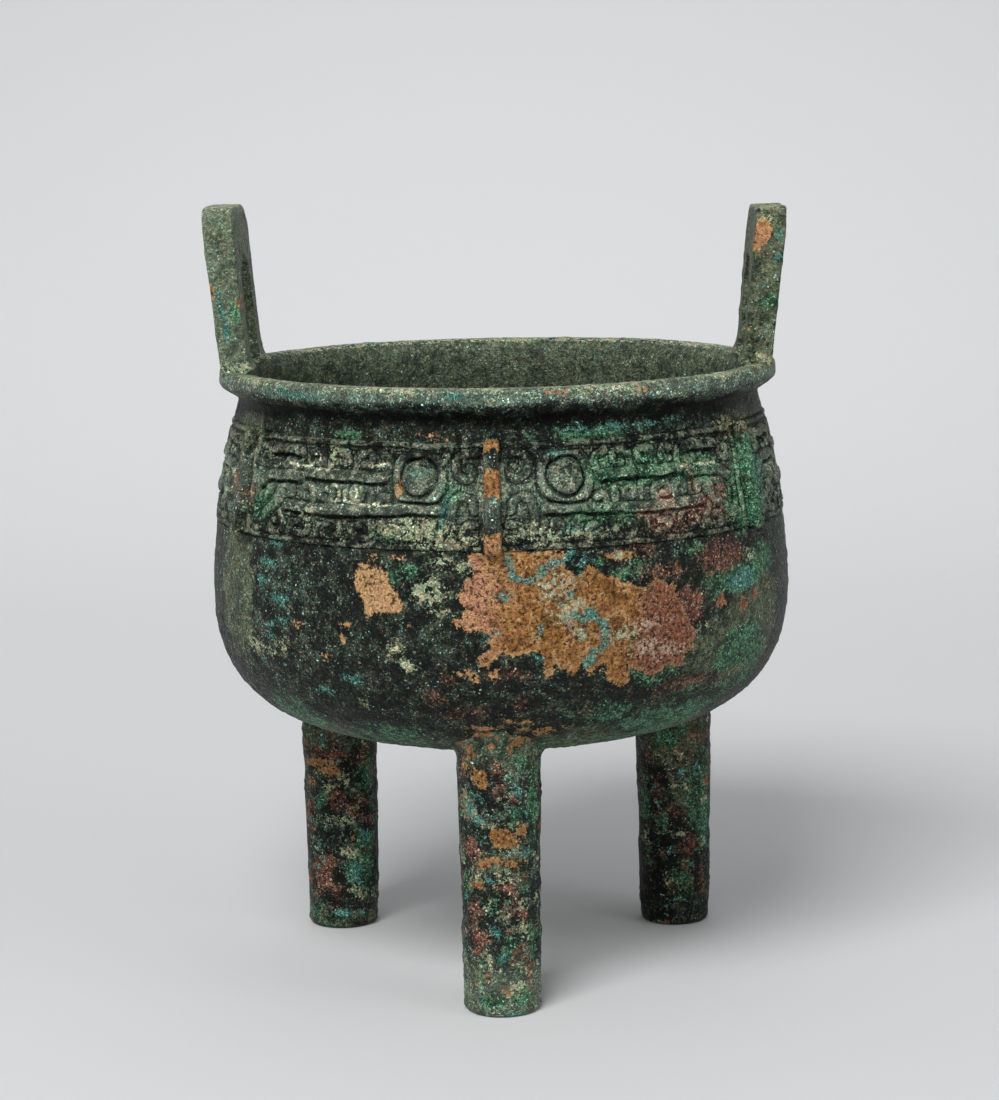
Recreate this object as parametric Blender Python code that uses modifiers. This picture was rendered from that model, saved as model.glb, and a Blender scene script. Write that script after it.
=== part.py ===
# Bronze ding: a round cauldron on three legs with two upright loop handles, cast in one piece.
# Metres, +Z up. The origin is on the floor, on the bowl's axis. One leg and one mask face -Y,
# and the handles stand on the rim at -X and +X.

import math

import bmesh
import bpy
import numpy as np
from mathutils import Matrix

# Bowl
LEG_CLEARANCE = 0.0639        # floor to the lowest point of the bowl
BOWL_HEIGHT = 0.0999          # lowest point of the bowl to the top of the lip
BELLY_RISE = 0.0416           # lowest point of the bowl to its widest level
LIP_RADIUS = 0.0750
LIP_OVERHANG = 0.0050         # lip past the narrowest part of the neck
BELLY_BULGE = 0.0083          # belly past the neck
NECK_DROP = 0.0080            # top of the lip down to the narrowest level
LIP_EDGE = 0.0046             # height of the lip's upright outer edge
LIP_BEVEL = 0.0010            # rounding of the lip's edges
MOUTH_BEVEL = 0.0024          # inner slope of the lip, across and down
WALL = 0.0032

# Legs
LEG_INSET = 0.0234            # belly's widest radius to the circle of the leg axes
LEG_TOP_RADIUS = 0.0107
LEG_FOOT_RADIUS = 0.0096
LEG_FOOT_ROUNDING = 0.0016

# Handles
HANDLE_HEIGHT = 0.0429        # above the top of the lip
HANDLE_FOOT_WIDTH = 0.0395    # along the rim
HANDLE_TOP_WIDTH = 0.0370
HANDLE_CORNER_RADIUS = 0.0110
HANDLE_SIDE_WIDTH = 0.0090    # each upright of the loop, at the top
HANDLE_TOP_BAR = 0.0136       # top of the opening to the top of the handle
HANDLE_FOOT_THICKNESS = 0.0076
HANDLE_TOP_THICKNESS = 0.0088
HANDLE_SET_IN = 0.0021        # lip's outer edge to the handle's outer face, at the foot
HANDLE_LEAN = 0.0046          # how far the top leans outwards
HANDLE_CHAMFER = 0.0008
HANDLE_SUNK = 0.0030          # how deep the feet go into the lip
HANDLE_ROOT_THICKNESS = 0.0040  # thickness at that depth
HANDLE_ROOT_SET_IN = 0.0009   # outer face at that depth, in from the outer face at the foot

# Decorated band
BAND_DROP = 0.0145            # top of the lip down to the band's upper border
BAND_HEIGHT = 0.0252          # between the centre lines of the two borders
BORDER_WIDTH = 0.0015
BORDER_TOP_WIDTH = 0.0009
BORDER_RISE = 0.0007
FLANGE_WIDTH = 0.0046
FLANGE_RISE = 0.0030
FLANGE_OVERRUN = 0.0014       # past each border of the band
BAR_WIDTH = 0.0023
FINE_BAR_WIDTH = 0.0015
BAR_RISE = 0.0009
TIE_RISE = 0.0007             # the cross bars lie a little lower than the long ones
EYE_RADIUS = 0.0044
EYE_RISE = 0.0016
SOCKET_RADIUS = 0.0062
BOSS_RADIUS = 0.0030
ROOT = 0.0012                 # how deep a raised form is rooted in the wall
MOUTH_CLEARANCE = 0.0200      # how far the cutter of the hollow stands out of the mouth

# Proportions of the free curves
BELLY_ROUND_OUT = 3.7         # exponents of the superellipse under the belly, for the radius
BELLY_ROUND_DOWN = 2.6        # and for the depth
SHOULDER_BEND = 1.65          # exponent of the curve from the belly up to the neck
BAR_ROOT_SHARE = 0.62         # half widths of a raised bar, as shares of its width
BAR_TOP_SHARE = 0.40

# Counts
MASKS = 3
LEGS = 3
TURN_STEPS = 48
LEG_STEPS = 18

RIM_Z = LEG_CLEARANCE + BOWL_HEIGHT
BELLY_Z = LEG_CLEARANCE + BELLY_RISE
NECK_Z = RIM_Z - NECK_DROP
NECK_RADIUS = LIP_RADIUS - LIP_OVERHANG
BELLY_RADIUS = NECK_RADIUS + BELLY_BULGE
LEG_CIRCLE_RADIUS = BELLY_RADIUS - LEG_INSET
BAND_TOP_Z = RIM_Z - BAND_DROP
BAND_BOTTOM_Z = BAND_TOP_Z - BAND_HEIGHT
FRONT = -math.pi / 2
HALF_MASK = math.pi / MASKS

# The lines of half a mask, from the nose flange at 0 to the dividing flange at 1 along the rim,
# and from the lower border at 0 to the upper border at 1.
EYE_PLACE = (0.235, 0.62)
BOSS_PLACE = (0.797, 0.40)
LONG_BARS = {
    "horn": [(0.343, 0.90), (0.350, 0.70), (0.400, 0.64), (0.82, 0.65), (0.92, 0.73),
             (0.92, 0.87), (0.85, 0.90)],
    "jaw": [(0.110, 0.13), (0.150, 0.27), (0.27, 0.33), (0.44, 0.34), (0.60, 0.34),
            (0.69, 0.22)],
    "arch": [(0.712, 0.28), (0.722, 0.46), (0.765, 0.54), (0.825, 0.54), (0.875, 0.45),
             (0.875, 0.25)],
    "tail": [(0.955, 0.58), (0.957, 0.30), (0.930, 0.12), (0.875, 0.09), (0.84, 0.15)],
}
FINE_BARS = {
    "nose_scroll": [(0.062, 0.90), (0.105, 0.90), (0.130, 0.80), (0.112, 0.70), (0.072, 0.66)],
    "nostril": [(0.070, 0.52), (0.107, 0.50), (0.120, 0.39), (0.093, 0.30), (0.062, 0.29)],
    "near_claw": [(0.615, 0.20), (0.555, 0.20), (0.545, 0.11), (0.590, 0.08)],
    "far_claw": [(0.775, 0.22), (0.720, 0.19), (0.725, 0.09), (0.780, 0.08)],
    "near_quill": [(0.460, 0.89), (0.395, 0.88), (0.400, 0.78), (0.455, 0.78)],
    "far_quill": [(0.625, 0.89), (0.555, 0.88), (0.560, 0.78), (0.615, 0.78)],
    "end_quill": [(0.800, 0.88), (0.715, 0.88), (0.720, 0.78), (0.780, 0.79)],
}
TIES = {
    "near_tie": [(0.507, 0.66), (0.507, 0.96)],
    "far_tie": [(0.663, 0.66), (0.663, 0.96)],
}
FLANGE_LINE_STEPS = 3

parts = bpy.data.collections.new("bronze_ding")
leg_forms = bpy.data.collections.new("ding_leg_forms")
relief_forms = bpy.data.collections.new("ding_relief_forms")
cutters = bpy.data.collections.new("ding_cutters")


def clear_scene():
    for item in list(bpy.data.objects):
        bpy.data.objects.remove(item)
    for group in (parts, leg_forms, relief_forms, cutters):
        bpy.context.scene.collection.children.link(group)


def new_object(name, mesh, group):
    item = bpy.data.objects.new(name, mesh)
    group.objects.link(item)
    if group is not parts:
        item.hide_render = True
        item.display_type = "WIRE"
    return item


def bowl_radius(z, inset=0.0):
    # A superellipse under the widest level, and a power curve from there up to the neck.
    # inset moves the surface inwards by the wall, for the inside of the bowl.
    belly = BELLY_RADIUS - inset
    if z < BELLY_Z:
        share = min(1.0, (BELLY_Z - z) / (BELLY_RISE - inset))
        return belly * (1.0 - share ** BELLY_ROUND_DOWN) ** (1.0 / BELLY_ROUND_OUT)
    share = min(1.0, (z - BELLY_Z) / (NECK_Z - BELLY_Z))
    return belly - (BELLY_RADIUS - NECK_RADIUS) * share ** SHOULDER_BEND


def lower_curve(inset, steps):
    # The superellipse from the widest level down to the axis, as (radius, z) points
    points = []
    for i in range(1, steps + 1):
        turn = i / steps * math.pi / 2
        radius = (BELLY_RADIUS - inset) * math.cos(turn) ** (2.0 / BELLY_ROUND_OUT)
        depth = (BELLY_RISE - inset) * math.sin(turn) ** (2.0 / BELLY_ROUND_DOWN)
        points.append((max(radius, 0.0) if i < steps else 0.0, BELLY_Z - depth))
    return points


def outer_profile():
    lip = [
        (0.0, RIM_Z),
        (LIP_RADIUS - LIP_BEVEL, RIM_Z),
        (LIP_RADIUS, RIM_Z - LIP_BEVEL),
        (LIP_RADIUS, RIM_Z - LIP_EDGE + LIP_BEVEL),
        (LIP_RADIUS - LIP_BEVEL, RIM_Z - LIP_EDGE),
    ]
    levels = [(NECK_Z, 0.0), ((BAND_TOP_Z + BAND_BOTTOM_Z) / 2, 0.0),
              ((BAND_BOTTOM_Z + BELLY_Z) / 2, 0.0), (BELLY_Z, 0.0)]
    for border in (BAND_TOP_Z, BAND_BOTTOM_Z):
        for side in (-1, 1):
            levels += [(border + side * BORDER_WIDTH / 2, 0.0),
                       (border + side * BORDER_TOP_WIDTH / 2, BORDER_RISE)]
    wall = [(bowl_radius(z) + rise, z) for z, rise in sorted(levels, reverse=True)]
    return lip + wall + lower_curve(0.0, 7)


def inner_profile():
    above = RIM_Z + MOUTH_CLEARANCE
    mouth = NECK_RADIUS - WALL
    throat_z = RIM_Z - MOUTH_BEVEL
    wall = [(bowl_radius(z, WALL), z) for z in np.linspace(NECK_Z, BELLY_Z, 4)]
    return [(0.0, above), (mouth + MOUTH_BEVEL, above), (mouth + MOUTH_BEVEL, RIM_Z),
            (mouth, throat_z)] + wall + lower_curve(WALL, 5)


def turned(name, profile, steps, group):
    # A profile of (radius, z) points, top to bottom, turned about the Z axis
    mesh = bpy.data.meshes.new(name)
    points = [(radius, 0.0, z) for radius, z in profile]
    mesh.from_pydata(points, [(i, i + 1) for i in range(len(points) - 1)], [])
    item = new_object(name, mesh, group)
    turn = item.modifiers.new("turn", "SCREW")
    turn.steps = steps
    turn.render_steps = steps
    turn.use_merge_vertices = True
    turn.merge_threshold = 0.00001
    return item


def on_wall(along, up, rise, mask, side):
    # A place in half a mask, raised above the bowl's wall, as a point of the model
    angle = FRONT + mask * 2 * HALF_MASK + side * along * HALF_MASK
    z = BAND_BOTTOM_Z + up * BAND_HEIGHT
    radius = bowl_radius(z) + rise
    return radius * math.cos(angle), radius * math.sin(angle), z


def raised_bar(name, line, width, rise, mask, side):
    # A bar with sloping sides that follows a line over the wall: a loft of four-cornered sections
    reach = HALF_MASK * bowl_radius((BAND_TOP_Z + BAND_BOTTOM_Z) / 2)
    flat = np.array([(along * reach, up * BAND_HEIGHT) for along, up in line])
    run = np.gradient(flat, axis=0)
    run /= np.linalg.norm(run, axis=1)[:, None]
    across = np.stack([-run[:, 1], run[:, 0]], 1)
    corners = [(-BAR_ROOT_SHARE, -ROOT), (BAR_ROOT_SHARE, -ROOT), (BAR_TOP_SHARE, rise),
               (-BAR_TOP_SHARE, rise)]
    form = bmesh.new()
    rings = []
    for centre, sideways in zip(flat, across):
        ring = []
        for share, height in corners:
            spot = centre + sideways * share * width
            ring.append(form.verts.new(on_wall(spot[0] / reach, spot[1] / BAND_HEIGHT, height, mask, side)))
        rings.append(ring)
    for first, second in zip(rings, rings[1:]):
        for i in range(len(corners)):
            j = (i + 1) % len(corners)
            form.faces.new([first[i], first[j], second[j], second[i]])
    form.faces.new(rings[0])
    form.faces.new(reversed(rings[-1]))
    bmesh.ops.recalc_face_normals(form, faces=form.faces)
    mesh = bpy.data.meshes.new(name)
    form.to_mesh(mesh)
    form.free()
    return new_object(name, mesh, relief_forms)


def round_boss(name, place, radius, rise, mask, side):
    # A low dome: a flattened sphere that is half sunk in the wall
    form = bmesh.new()
    flatten = Matrix.Diagonal((radius, radius, rise, 1.0))
    bmesh.ops.create_uvsphere(form, u_segments=10, v_segments=6, radius=1.0, matrix=flatten)
    mesh = bpy.data.meshes.new(name)
    form.to_mesh(mesh)
    form.free()
    item = new_object(name, mesh, relief_forms)
    spot = on_wall(place[0], place[1], 0.0, mask, side)
    item.location = spot
    item.rotation_euler = (math.pi / 2, 0.0, math.atan2(spot[1], spot[0]) + math.pi / 2)
    return item


def eye_socket():
    # An arc round the eye, open towards the horn, in shares of half a mask and of the band
    reach = HALF_MASK * bowl_radius(BAND_BOTTOM_Z + EYE_PLACE[1] * BAND_HEIGHT)
    turns = np.radians(np.linspace(50.0, 320.0, 7))
    return [(EYE_PLACE[0] + SOCKET_RADIUS * math.cos(t) / reach,
             EYE_PLACE[1] + SOCKET_RADIUS * math.sin(t) / BAND_HEIGHT) for t in turns]


def mask_relief():
    for mask in range(MASKS):
        for hand, side in (("left", -1), ("right", 1)):
            label = f"{hand}_{mask + 1}"
            for word, line in LONG_BARS.items():
                raised_bar(f"{word}_{label}", line, BAR_WIDTH, BAR_RISE, mask, side)
            for word, line in FINE_BARS.items():
                raised_bar(f"{word}_{label}", line, FINE_BAR_WIDTH, BAR_RISE, mask, side)
            for word, line in TIES.items():
                raised_bar(f"{word}_{label}", line, FINE_BAR_WIDTH, TIE_RISE, mask, side)
            raised_bar(f"socket_{label}", eye_socket(), FINE_BAR_WIDTH, TIE_RISE, mask, side)
            round_boss(f"eye_{label}", EYE_PLACE, EYE_RADIUS, EYE_RISE, mask, side)
            round_boss(f"boss_{label}", BOSS_PLACE, BOSS_RADIUS, EYE_RISE, mask, side)


def flanges():
    # A nose flange on each mask's middle line and a dividing flange between each two masks
    over = FLANGE_OVERRUN / BAND_HEIGHT
    ups = np.linspace(-over, 1.0 + over, FLANGE_LINE_STEPS + 1)
    for mask in range(MASKS):
        for word, along in (("nose_flange", 0.0), ("dividing_flange", 1.0)):
            line = [(along, up) for up in ups]
            raised_bar(f"{word}_{mask + 1}", line, FLANGE_WIDTH, FLANGE_RISE, mask, 1)


def leg_profile():
    # From inside the bowl down to the foot, with a rounded edge under it
    points = [(0.0, BELLY_Z), (LEG_TOP_RADIUS, BELLY_Z), (LEG_TOP_RADIUS, LEG_CLEARANCE)]
    for turn in np.linspace(0.0, math.pi / 2, 4):
        points.append((LEG_FOOT_RADIUS - LEG_FOOT_ROUNDING * (1.0 - math.cos(turn)),
                       LEG_FOOT_ROUNDING * (1.0 - math.sin(turn))))
    return points + [(0.0, 0.0)]


def legs():
    for i in range(LEGS):
        angle = FRONT + i * 2 * math.pi / LEGS
        leg = turned(f"leg_{i + 1}", leg_profile(), LEG_STEPS, leg_forms)
        leg.location = (LEG_CIRCLE_RADIUS * math.cos(angle), LEG_CIRCLE_RADIUS * math.sin(angle), 0.0)


def handle_outline():
    # An upside-down U as (along the rim, height above the lip) points, its feet sunk in the lip
    top = HANDLE_HEIGHT - HANDLE_CHAMFER
    corner_z = top - HANDLE_CORNER_RADIUS
    half_foot = HANDLE_FOOT_WIDTH / 2 - HANDLE_CHAMFER
    half_top = HANDLE_TOP_WIDTH / 2 - HANDLE_CHAMFER
    opening = HANDLE_TOP_WIDTH / 2 - HANDLE_SIDE_WIDTH + HANDLE_CHAMFER
    arch_z = HANDLE_HEIGHT - HANDLE_TOP_BAR + HANDLE_CHAMFER - opening
    right = [(half_foot, -HANDLE_SUNK), (half_foot, 0.0)]
    for turn in np.linspace(0.0, math.pi / 2, 6):
        right.append((half_top - HANDLE_CORNER_RADIUS * (1.0 - math.cos(turn)),
                      corner_z + HANDLE_CORNER_RADIUS * math.sin(turn)))
    outer = right + [(-y, z) for y, z in reversed(right)]
    inner = [(-opening, -HANDLE_SUNK), (-opening, 0.0)]
    for turn in np.linspace(math.pi, 0.0, 11):
        inner.append((opening * math.cos(turn), arch_z + opening * math.sin(turn)))
    return outer + inner + [(opening, 0.0), (opening, -HANDLE_SUNK)]


def handle(name, side):
    shape = bpy.data.curves.new(name, "CURVE")
    shape.dimensions = "2D"
    shape.fill_mode = "BOTH"
    shape.extrude = HANDLE_FOOT_THICKNESS / 2 - HANDLE_CHAMFER
    shape.bevel_depth = HANDLE_CHAMFER
    shape.bevel_resolution = 0
    outline = handle_outline()
    spline = shape.splines.new("POLY")
    spline.points.add(len(outline) - 1)
    for point, (y, z) in zip(spline.points, outline):
        point.co = (y, z, 0.0, 1.0)
    spline.use_cyclic_u = True
    flat = bpy.data.objects.new(name + "_outline", shape)
    cutters.objects.link(flat)
    seen = flat.evaluated_get(bpy.context.evaluated_depsgraph_get())
    mesh = bpy.data.meshes.new_from_object(seen)
    bpy.data.objects.remove(flat)
    form = bmesh.new()
    form.from_mesh(mesh)
    bmesh.ops.remove_doubles(form, verts=form.verts, dist=0.00001)
    for corner in form.verts:
        y, height, across = corner.co
        climb = max(0.0, height) / HANDLE_HEIGHT
        sink = max(0.0, -height) / HANDLE_SUNK
        thickness = HANDLE_FOOT_THICKNESS + (HANDLE_TOP_THICKNESS - HANDLE_FOOT_THICKNESS) * climb
        thickness -= (HANDLE_FOOT_THICKNESS - HANDLE_ROOT_THICKNESS) * sink
        outer_face = LIP_RADIUS - HANDLE_SET_IN + HANDLE_LEAN * climb - HANDLE_ROOT_SET_IN * sink
        share = across / HANDLE_FOOT_THICKNESS
        corner.co = (side * (outer_face - thickness * (0.5 - share)), y, RIM_Z + height)
    bmesh.ops.recalc_face_normals(form, faces=form.faces)
    form.to_mesh(mesh)
    form.free()
    return new_object(name, mesh, cutters)


def bronze():
    finish = bpy.data.materials.new("patinated_bronze")
    finish.use_nodes = True
    shader = finish.node_tree.nodes["Principled BSDF"]
    shader.inputs["Base Color"].default_value = (0.07, 0.11, 0.09, 1.0)
    shader.inputs["Roughness"].default_value = 0.72
    shader.inputs["Metallic"].default_value = 0.25
    return finish


def join(body, name, operation, group=None, item=None):
    step = body.modifiers.new(name, "BOOLEAN")
    step.operation = operation
    step.solver = "EXACT"
    if group is not None:
        step.operand_type = "COLLECTION"
        step.collection = group
    else:
        step.object = item


def main():
    clear_scene()
    mask_relief()
    flanges()
    legs()
    handles = [handle("left_handle", -1), handle("right_handle", 1)]
    hollow = turned("bowl_hollow", inner_profile(), TURN_STEPS, cutters)
    body = turned("ding_vessel", outer_profile(), TURN_STEPS, parts)
    join(body, "relief", "UNION", group=relief_forms)
    join(body, "legs", "UNION", group=leg_forms)
    join(body, "hollow", "DIFFERENCE", item=hollow)
    for loop in handles:
        join(body, loop.name, "UNION", item=loop)
    body.data.materials.append(bronze())


main()
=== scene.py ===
import math

import bpy
import numpy as np
from mathutils import Matrix, Vector


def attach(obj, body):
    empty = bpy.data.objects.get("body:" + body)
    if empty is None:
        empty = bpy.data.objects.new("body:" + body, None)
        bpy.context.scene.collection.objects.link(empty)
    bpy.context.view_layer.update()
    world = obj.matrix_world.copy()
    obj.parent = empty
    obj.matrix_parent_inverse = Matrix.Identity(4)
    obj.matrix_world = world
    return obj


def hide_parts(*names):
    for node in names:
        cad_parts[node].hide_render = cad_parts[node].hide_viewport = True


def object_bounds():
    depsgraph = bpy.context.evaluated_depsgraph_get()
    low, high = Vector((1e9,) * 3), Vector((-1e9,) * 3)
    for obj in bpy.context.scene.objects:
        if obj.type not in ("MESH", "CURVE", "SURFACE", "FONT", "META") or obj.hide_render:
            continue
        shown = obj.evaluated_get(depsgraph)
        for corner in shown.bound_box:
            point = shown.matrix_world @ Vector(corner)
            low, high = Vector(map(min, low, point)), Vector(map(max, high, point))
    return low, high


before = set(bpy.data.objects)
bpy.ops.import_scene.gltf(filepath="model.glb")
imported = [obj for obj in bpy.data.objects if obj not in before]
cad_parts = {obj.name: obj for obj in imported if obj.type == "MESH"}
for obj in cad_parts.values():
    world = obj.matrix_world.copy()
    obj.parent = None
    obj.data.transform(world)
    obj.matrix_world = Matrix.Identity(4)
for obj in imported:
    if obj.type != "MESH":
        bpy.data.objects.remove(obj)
cadLow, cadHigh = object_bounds()
print("ding: frame loaded")

# All sizes are in metres. Angles round the bowl are in degrees, 0 at the front (-Y) and growing towards +X.
mm = 0.001

# Patches and lines are placed by degrees round the bowl and mm of height. One degree is this many mm on
# the belly.
mmPerDegree = 1.344

vessel = {
    "rimZ": 0.1638,
    "neckZ": 0.1558,
    "bellyZ": 0.1055,         # widest level
    "bellyDepth": 0.0416,     # widest level down to the lowest point of the bowl
    "lipRadius": 0.0750,
    "neckRadius": 0.0700,
    "bellyRadius": 0.0783,
    "wall": 0.0032,
    "roundOut": 3.7,          # exponents of the superellipse under the belly: radius, then depth
    "roundDown": 2.6,
    "shoulderBend": 1.65,     # power of the curve from the belly up to the neck
    "crustRoom": 0.00022,     # the surface starts this far inside, so the crust stays in the cast size
    "bandLow": 0.1241,
    "bandHigh": 0.1493,
    "legCircle": 0.0549,
}


# Repeatable noise, worked out for whole arrays of points

def cellHash(ix, iy, iz, seed):
    # a repeatable value from 0 to 1 for each whole-number place, from the mixed bits of place and seed
    h = (ix * 73856093) ^ (iy * 19349663) ^ (iz * 83492791) ^ (seed * 97531 + 12345)
    h = (h ^ (h >> 13)) * 1274126177
    h = (h ^ (h >> 16)) & 0xFFFFFF
    return h / float(0xFFFFFF)


def softNoise(points, size, seed):
    # value noise from -1 to 1: the eight corner values of a cell blended by 3t^2 - 2t^3 along each axis
    place = points / size
    cell = np.floor(place).astype(np.int64)
    t = place - cell
    t = t * t * (3.0 - 2.0 * t)
    total = np.zeros(points.shape[:-1])
    for dx in (0, 1):
        for dy in (0, 1):
            for dz in (0, 1):
                weight = (t[..., 0] if dx else 1 - t[..., 0])
                weight = weight * (t[..., 1] if dy else 1 - t[..., 1])
                weight = weight * (t[..., 2] if dz else 1 - t[..., 2])
                total += weight * cellHash(cell[..., 0] + dx, cell[..., 1] + dy, cell[..., 2] + dz, seed)
    return total * 2.0 - 1.0


def layeredNoise(points, size, layers, seed):
    # each layer is half as large and half as strong as the one before
    total = np.zeros(points.shape[:-1])
    strength = 1.0
    for layer in range(layers):
        total += strength * softNoise(points, size, seed + layer * 7)
        size *= 0.5
        strength *= 0.5
    return total / (2.0 - 2.0 * 0.5 ** layers)


def wartNoise(points, size, seed):
    # round bumps from 0 to 1, one in each cell: highest at its centre and falling with the squared distance
    place = points / size
    cell = np.floor(place).astype(np.int64)
    best = np.zeros(points.shape[:-1])
    for dx in (-1, 0, 1):
        for dy in (-1, 0, 1):
            for dz in (-1, 0, 1):
                cx, cy, cz = cell[..., 0] + dx, cell[..., 1] + dy, cell[..., 2] + dz
                away = (place[..., 0] - cx - cellHash(cx, cy, cz, seed)) ** 2
                away += (place[..., 1] - cy - cellHash(cx, cy, cz, seed + 1)) ** 2
                away += (place[..., 2] - cz - cellHash(cx, cy, cz, seed + 2)) ** 2
                reach = 0.15 + 0.45 * cellHash(cx, cy, cz, seed + 3)
                best = np.maximum(best, np.clip(1.0 - away / reach ** 2, 0.0, 1.0) * reach)
    return best / 0.6


def smoothRise(value):
    value = np.clip(value, 0.0, 1.0)
    return value * value * (3.0 - 2.0 * value)


# Surfaces from grids of points

def rowNormals(grid):
    # cross product of the step down the rows and the step along a row, which closes round
    down = np.gradient(grid, axis=0)
    along = np.roll(grid, -1, axis=1) - np.roll(grid, 1, axis=1)
    normal = np.cross(down, along)
    return normal / np.maximum(np.linalg.norm(normal, axis=2, keepdims=True), 1e-12)


def evenly(line, step):
    # the same line with points about one step apart, by its length so far
    line = np.asarray(line, float)
    run = np.concatenate([[0.0], np.cumsum(np.linalg.norm(np.diff(line, axis=0), axis=1))])
    count = max(2, int(round(run[-1] / step)) + 1)
    at = np.linspace(0.0, run[-1], count)
    return np.stack([np.interp(at, run, line[:, k]) for k in range(line.shape[1])], axis=1)


def roundedLine(points, cut, steps=6):
    # each inner corner is cut back by its length and bridged by a quadratic curve
    points = np.asarray(points, float)
    line = [points[0]]
    for i in range(1, len(points) - 1):
        before, corner, after = points[i - 1], points[i], points[i + 1]
        start = corner + (before - corner) * min(0.49, cut[i - 1] / np.linalg.norm(before - corner))
        end = corner + (after - corner) * min(0.49, cut[i - 1] / np.linalg.norm(after - corner))
        for t in np.linspace(0.0, 1.0, steps):
            line.append((1 - t) ** 2 * start + 2 * t * (1 - t) * corner + t ** 2 * end)
    line.append(points[-1])
    return np.array(line)


def skinMesh(name, grid, caps, tints):
    # Quads join neighbouring points of a (rows, columns, 3) grid, and the last column to the first. The
    # two caps are points that the first and the last row are joined to. tints holds a value for each grid
    # point and for each cap.
    rows, columns = grid.shape[:2]
    points = grid.reshape(-1, 3)
    index = np.arange(rows * columns).reshape(rows, columns)
    right = np.roll(index, -1, axis=1)
    quads = np.stack([index[:-1], index[1:], right[1:], right[:-1]], axis=2).reshape(-1, 4)
    triangles = []
    for cap, row, flip in ((caps[0], 0, False), (caps[1], -1, True)):
        centre = len(points)
        points = np.vstack([points, cap])
        a, b = index[row], right[row]
        c = np.full(len(a), centre)
        triangles.append(np.stack([a, c, b] if flip else [c, a, b], axis=1))
    triangles = np.concatenate(triangles)
    corners = np.concatenate([quads.ravel(), triangles.ravel()])
    sides = np.concatenate([np.full(len(quads), 4), np.full(len(triangles), 3)])
    starts = np.concatenate([[0], np.cumsum(sides)[:-1]])
    fan = np.concatenate([quads[:, [0, 1, 2]], quads[:, [0, 2, 3]], triangles])
    volume = np.einsum("ij,ij->", points[fan[:, 0]], np.cross(points[fan[:, 1]], points[fan[:, 2]]))
    if volume < 0:       # the faces point inwards, so every face is turned over
        corners = np.concatenate([quads[:, ::-1].ravel(), triangles[:, ::-1].ravel()])
    mesh = bpy.data.meshes.new(name)
    mesh.vertices.add(len(points))
    mesh.vertices.foreach_set("co", points.astype(np.float32).ravel())
    mesh.loops.add(len(corners))
    mesh.loops.foreach_set("vertex_index", corners.astype(np.int32))
    mesh.polygons.add(len(starts))
    mesh.polygons.foreach_set("loop_start", starts.astype(np.int32))
    mesh.update(calc_edges=True)
    mesh.shade_smooth()
    for word, values in tints.items():
        single = values.ndim == 1
        layer = mesh.attributes.new(word, "FLOAT" if single else "FLOAT_COLOR", "POINT")
        layer.data.foreach_set("value" if single else "color", values.astype(np.float32).ravel())
    print(f"ding: {name}, {len(points)} points, {2 * len(quads) + len(triangles)} triangles")
    return mesh


def skinPoints(grid, caps):
    # the points in the order of the mesh: the grid row by row, then the caps
    return np.vstack([grid.reshape(-1, 3), caps[0], caps[1]])


def place(name, grid, caps, tints, material):
    # each piece stands for the one cast node and rides on the only body
    mesh = skinMesh(name, grid, caps, tints)
    piece = bpy.data.objects.new(name, mesh)
    bpy.context.scene.collection.objects.link(piece)
    mesh.materials.append(material)
    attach(piece, "root")
    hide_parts("ding_vessel")
    return piece


# Shape of the bowl

def bowlRadius(z, inset=0.0):
    # superellipse below the widest level, power curve from there up to the neck
    z = np.asarray(z, float)
    belly = vessel["bellyRadius"] - inset
    low = np.clip((vessel["bellyZ"] - z) / (vessel["bellyDepth"] - inset), 0.0, 1.0)
    high = np.clip((z - vessel["bellyZ"]) / (vessel["neckZ"] - vessel["bellyZ"]), 0.0, 1.0)
    under = belly * (1.0 - low ** vessel["roundDown"]) ** (1.0 / vessel["roundOut"])
    over = belly - (vessel["bellyRadius"] - vessel["neckRadius"]) * high ** vessel["shoulderBend"]
    return np.where(z < vessel["bellyZ"], under, over)


def underside(radius):
    # height of the bowl's outer surface under the belly, at a distance from the axis
    share = np.clip(np.asarray(radius, float) / vessel["bellyRadius"], 0.0, 1.0)
    depth = (1.0 - share ** vessel["roundOut"]) ** (1.0 / vessel["roundDown"])
    return vessel["bellyZ"] - vessel["bellyDepth"] * depth


def lowerCurve(inset, start, end, steps):
    # superellipse from one turn to another, 0 at the widest level and a quarter turn at the axis
    turn = np.linspace(start, end, steps)
    radius = (vessel["bellyRadius"] - inset) * np.clip(np.cos(turn), 0.0, 1.0) ** (2.0 / vessel["roundOut"])
    depth = (vessel["bellyDepth"] - inset) * np.clip(np.sin(turn), 0.0, 1.0) ** (2.0 / vessel["roundDown"])
    return np.stack([radius, vessel["bellyZ"] - depth], axis=1)


# Patina of the bowl, band and flanges, with painted light and shade. Outlines and veins are (degrees, mm)
# points, a vein with its half width in mm. Ovals are (degrees, mm, half width in degrees, half height in
# mm). Painted light and shade spots and speckled ovals add an amount.

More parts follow.
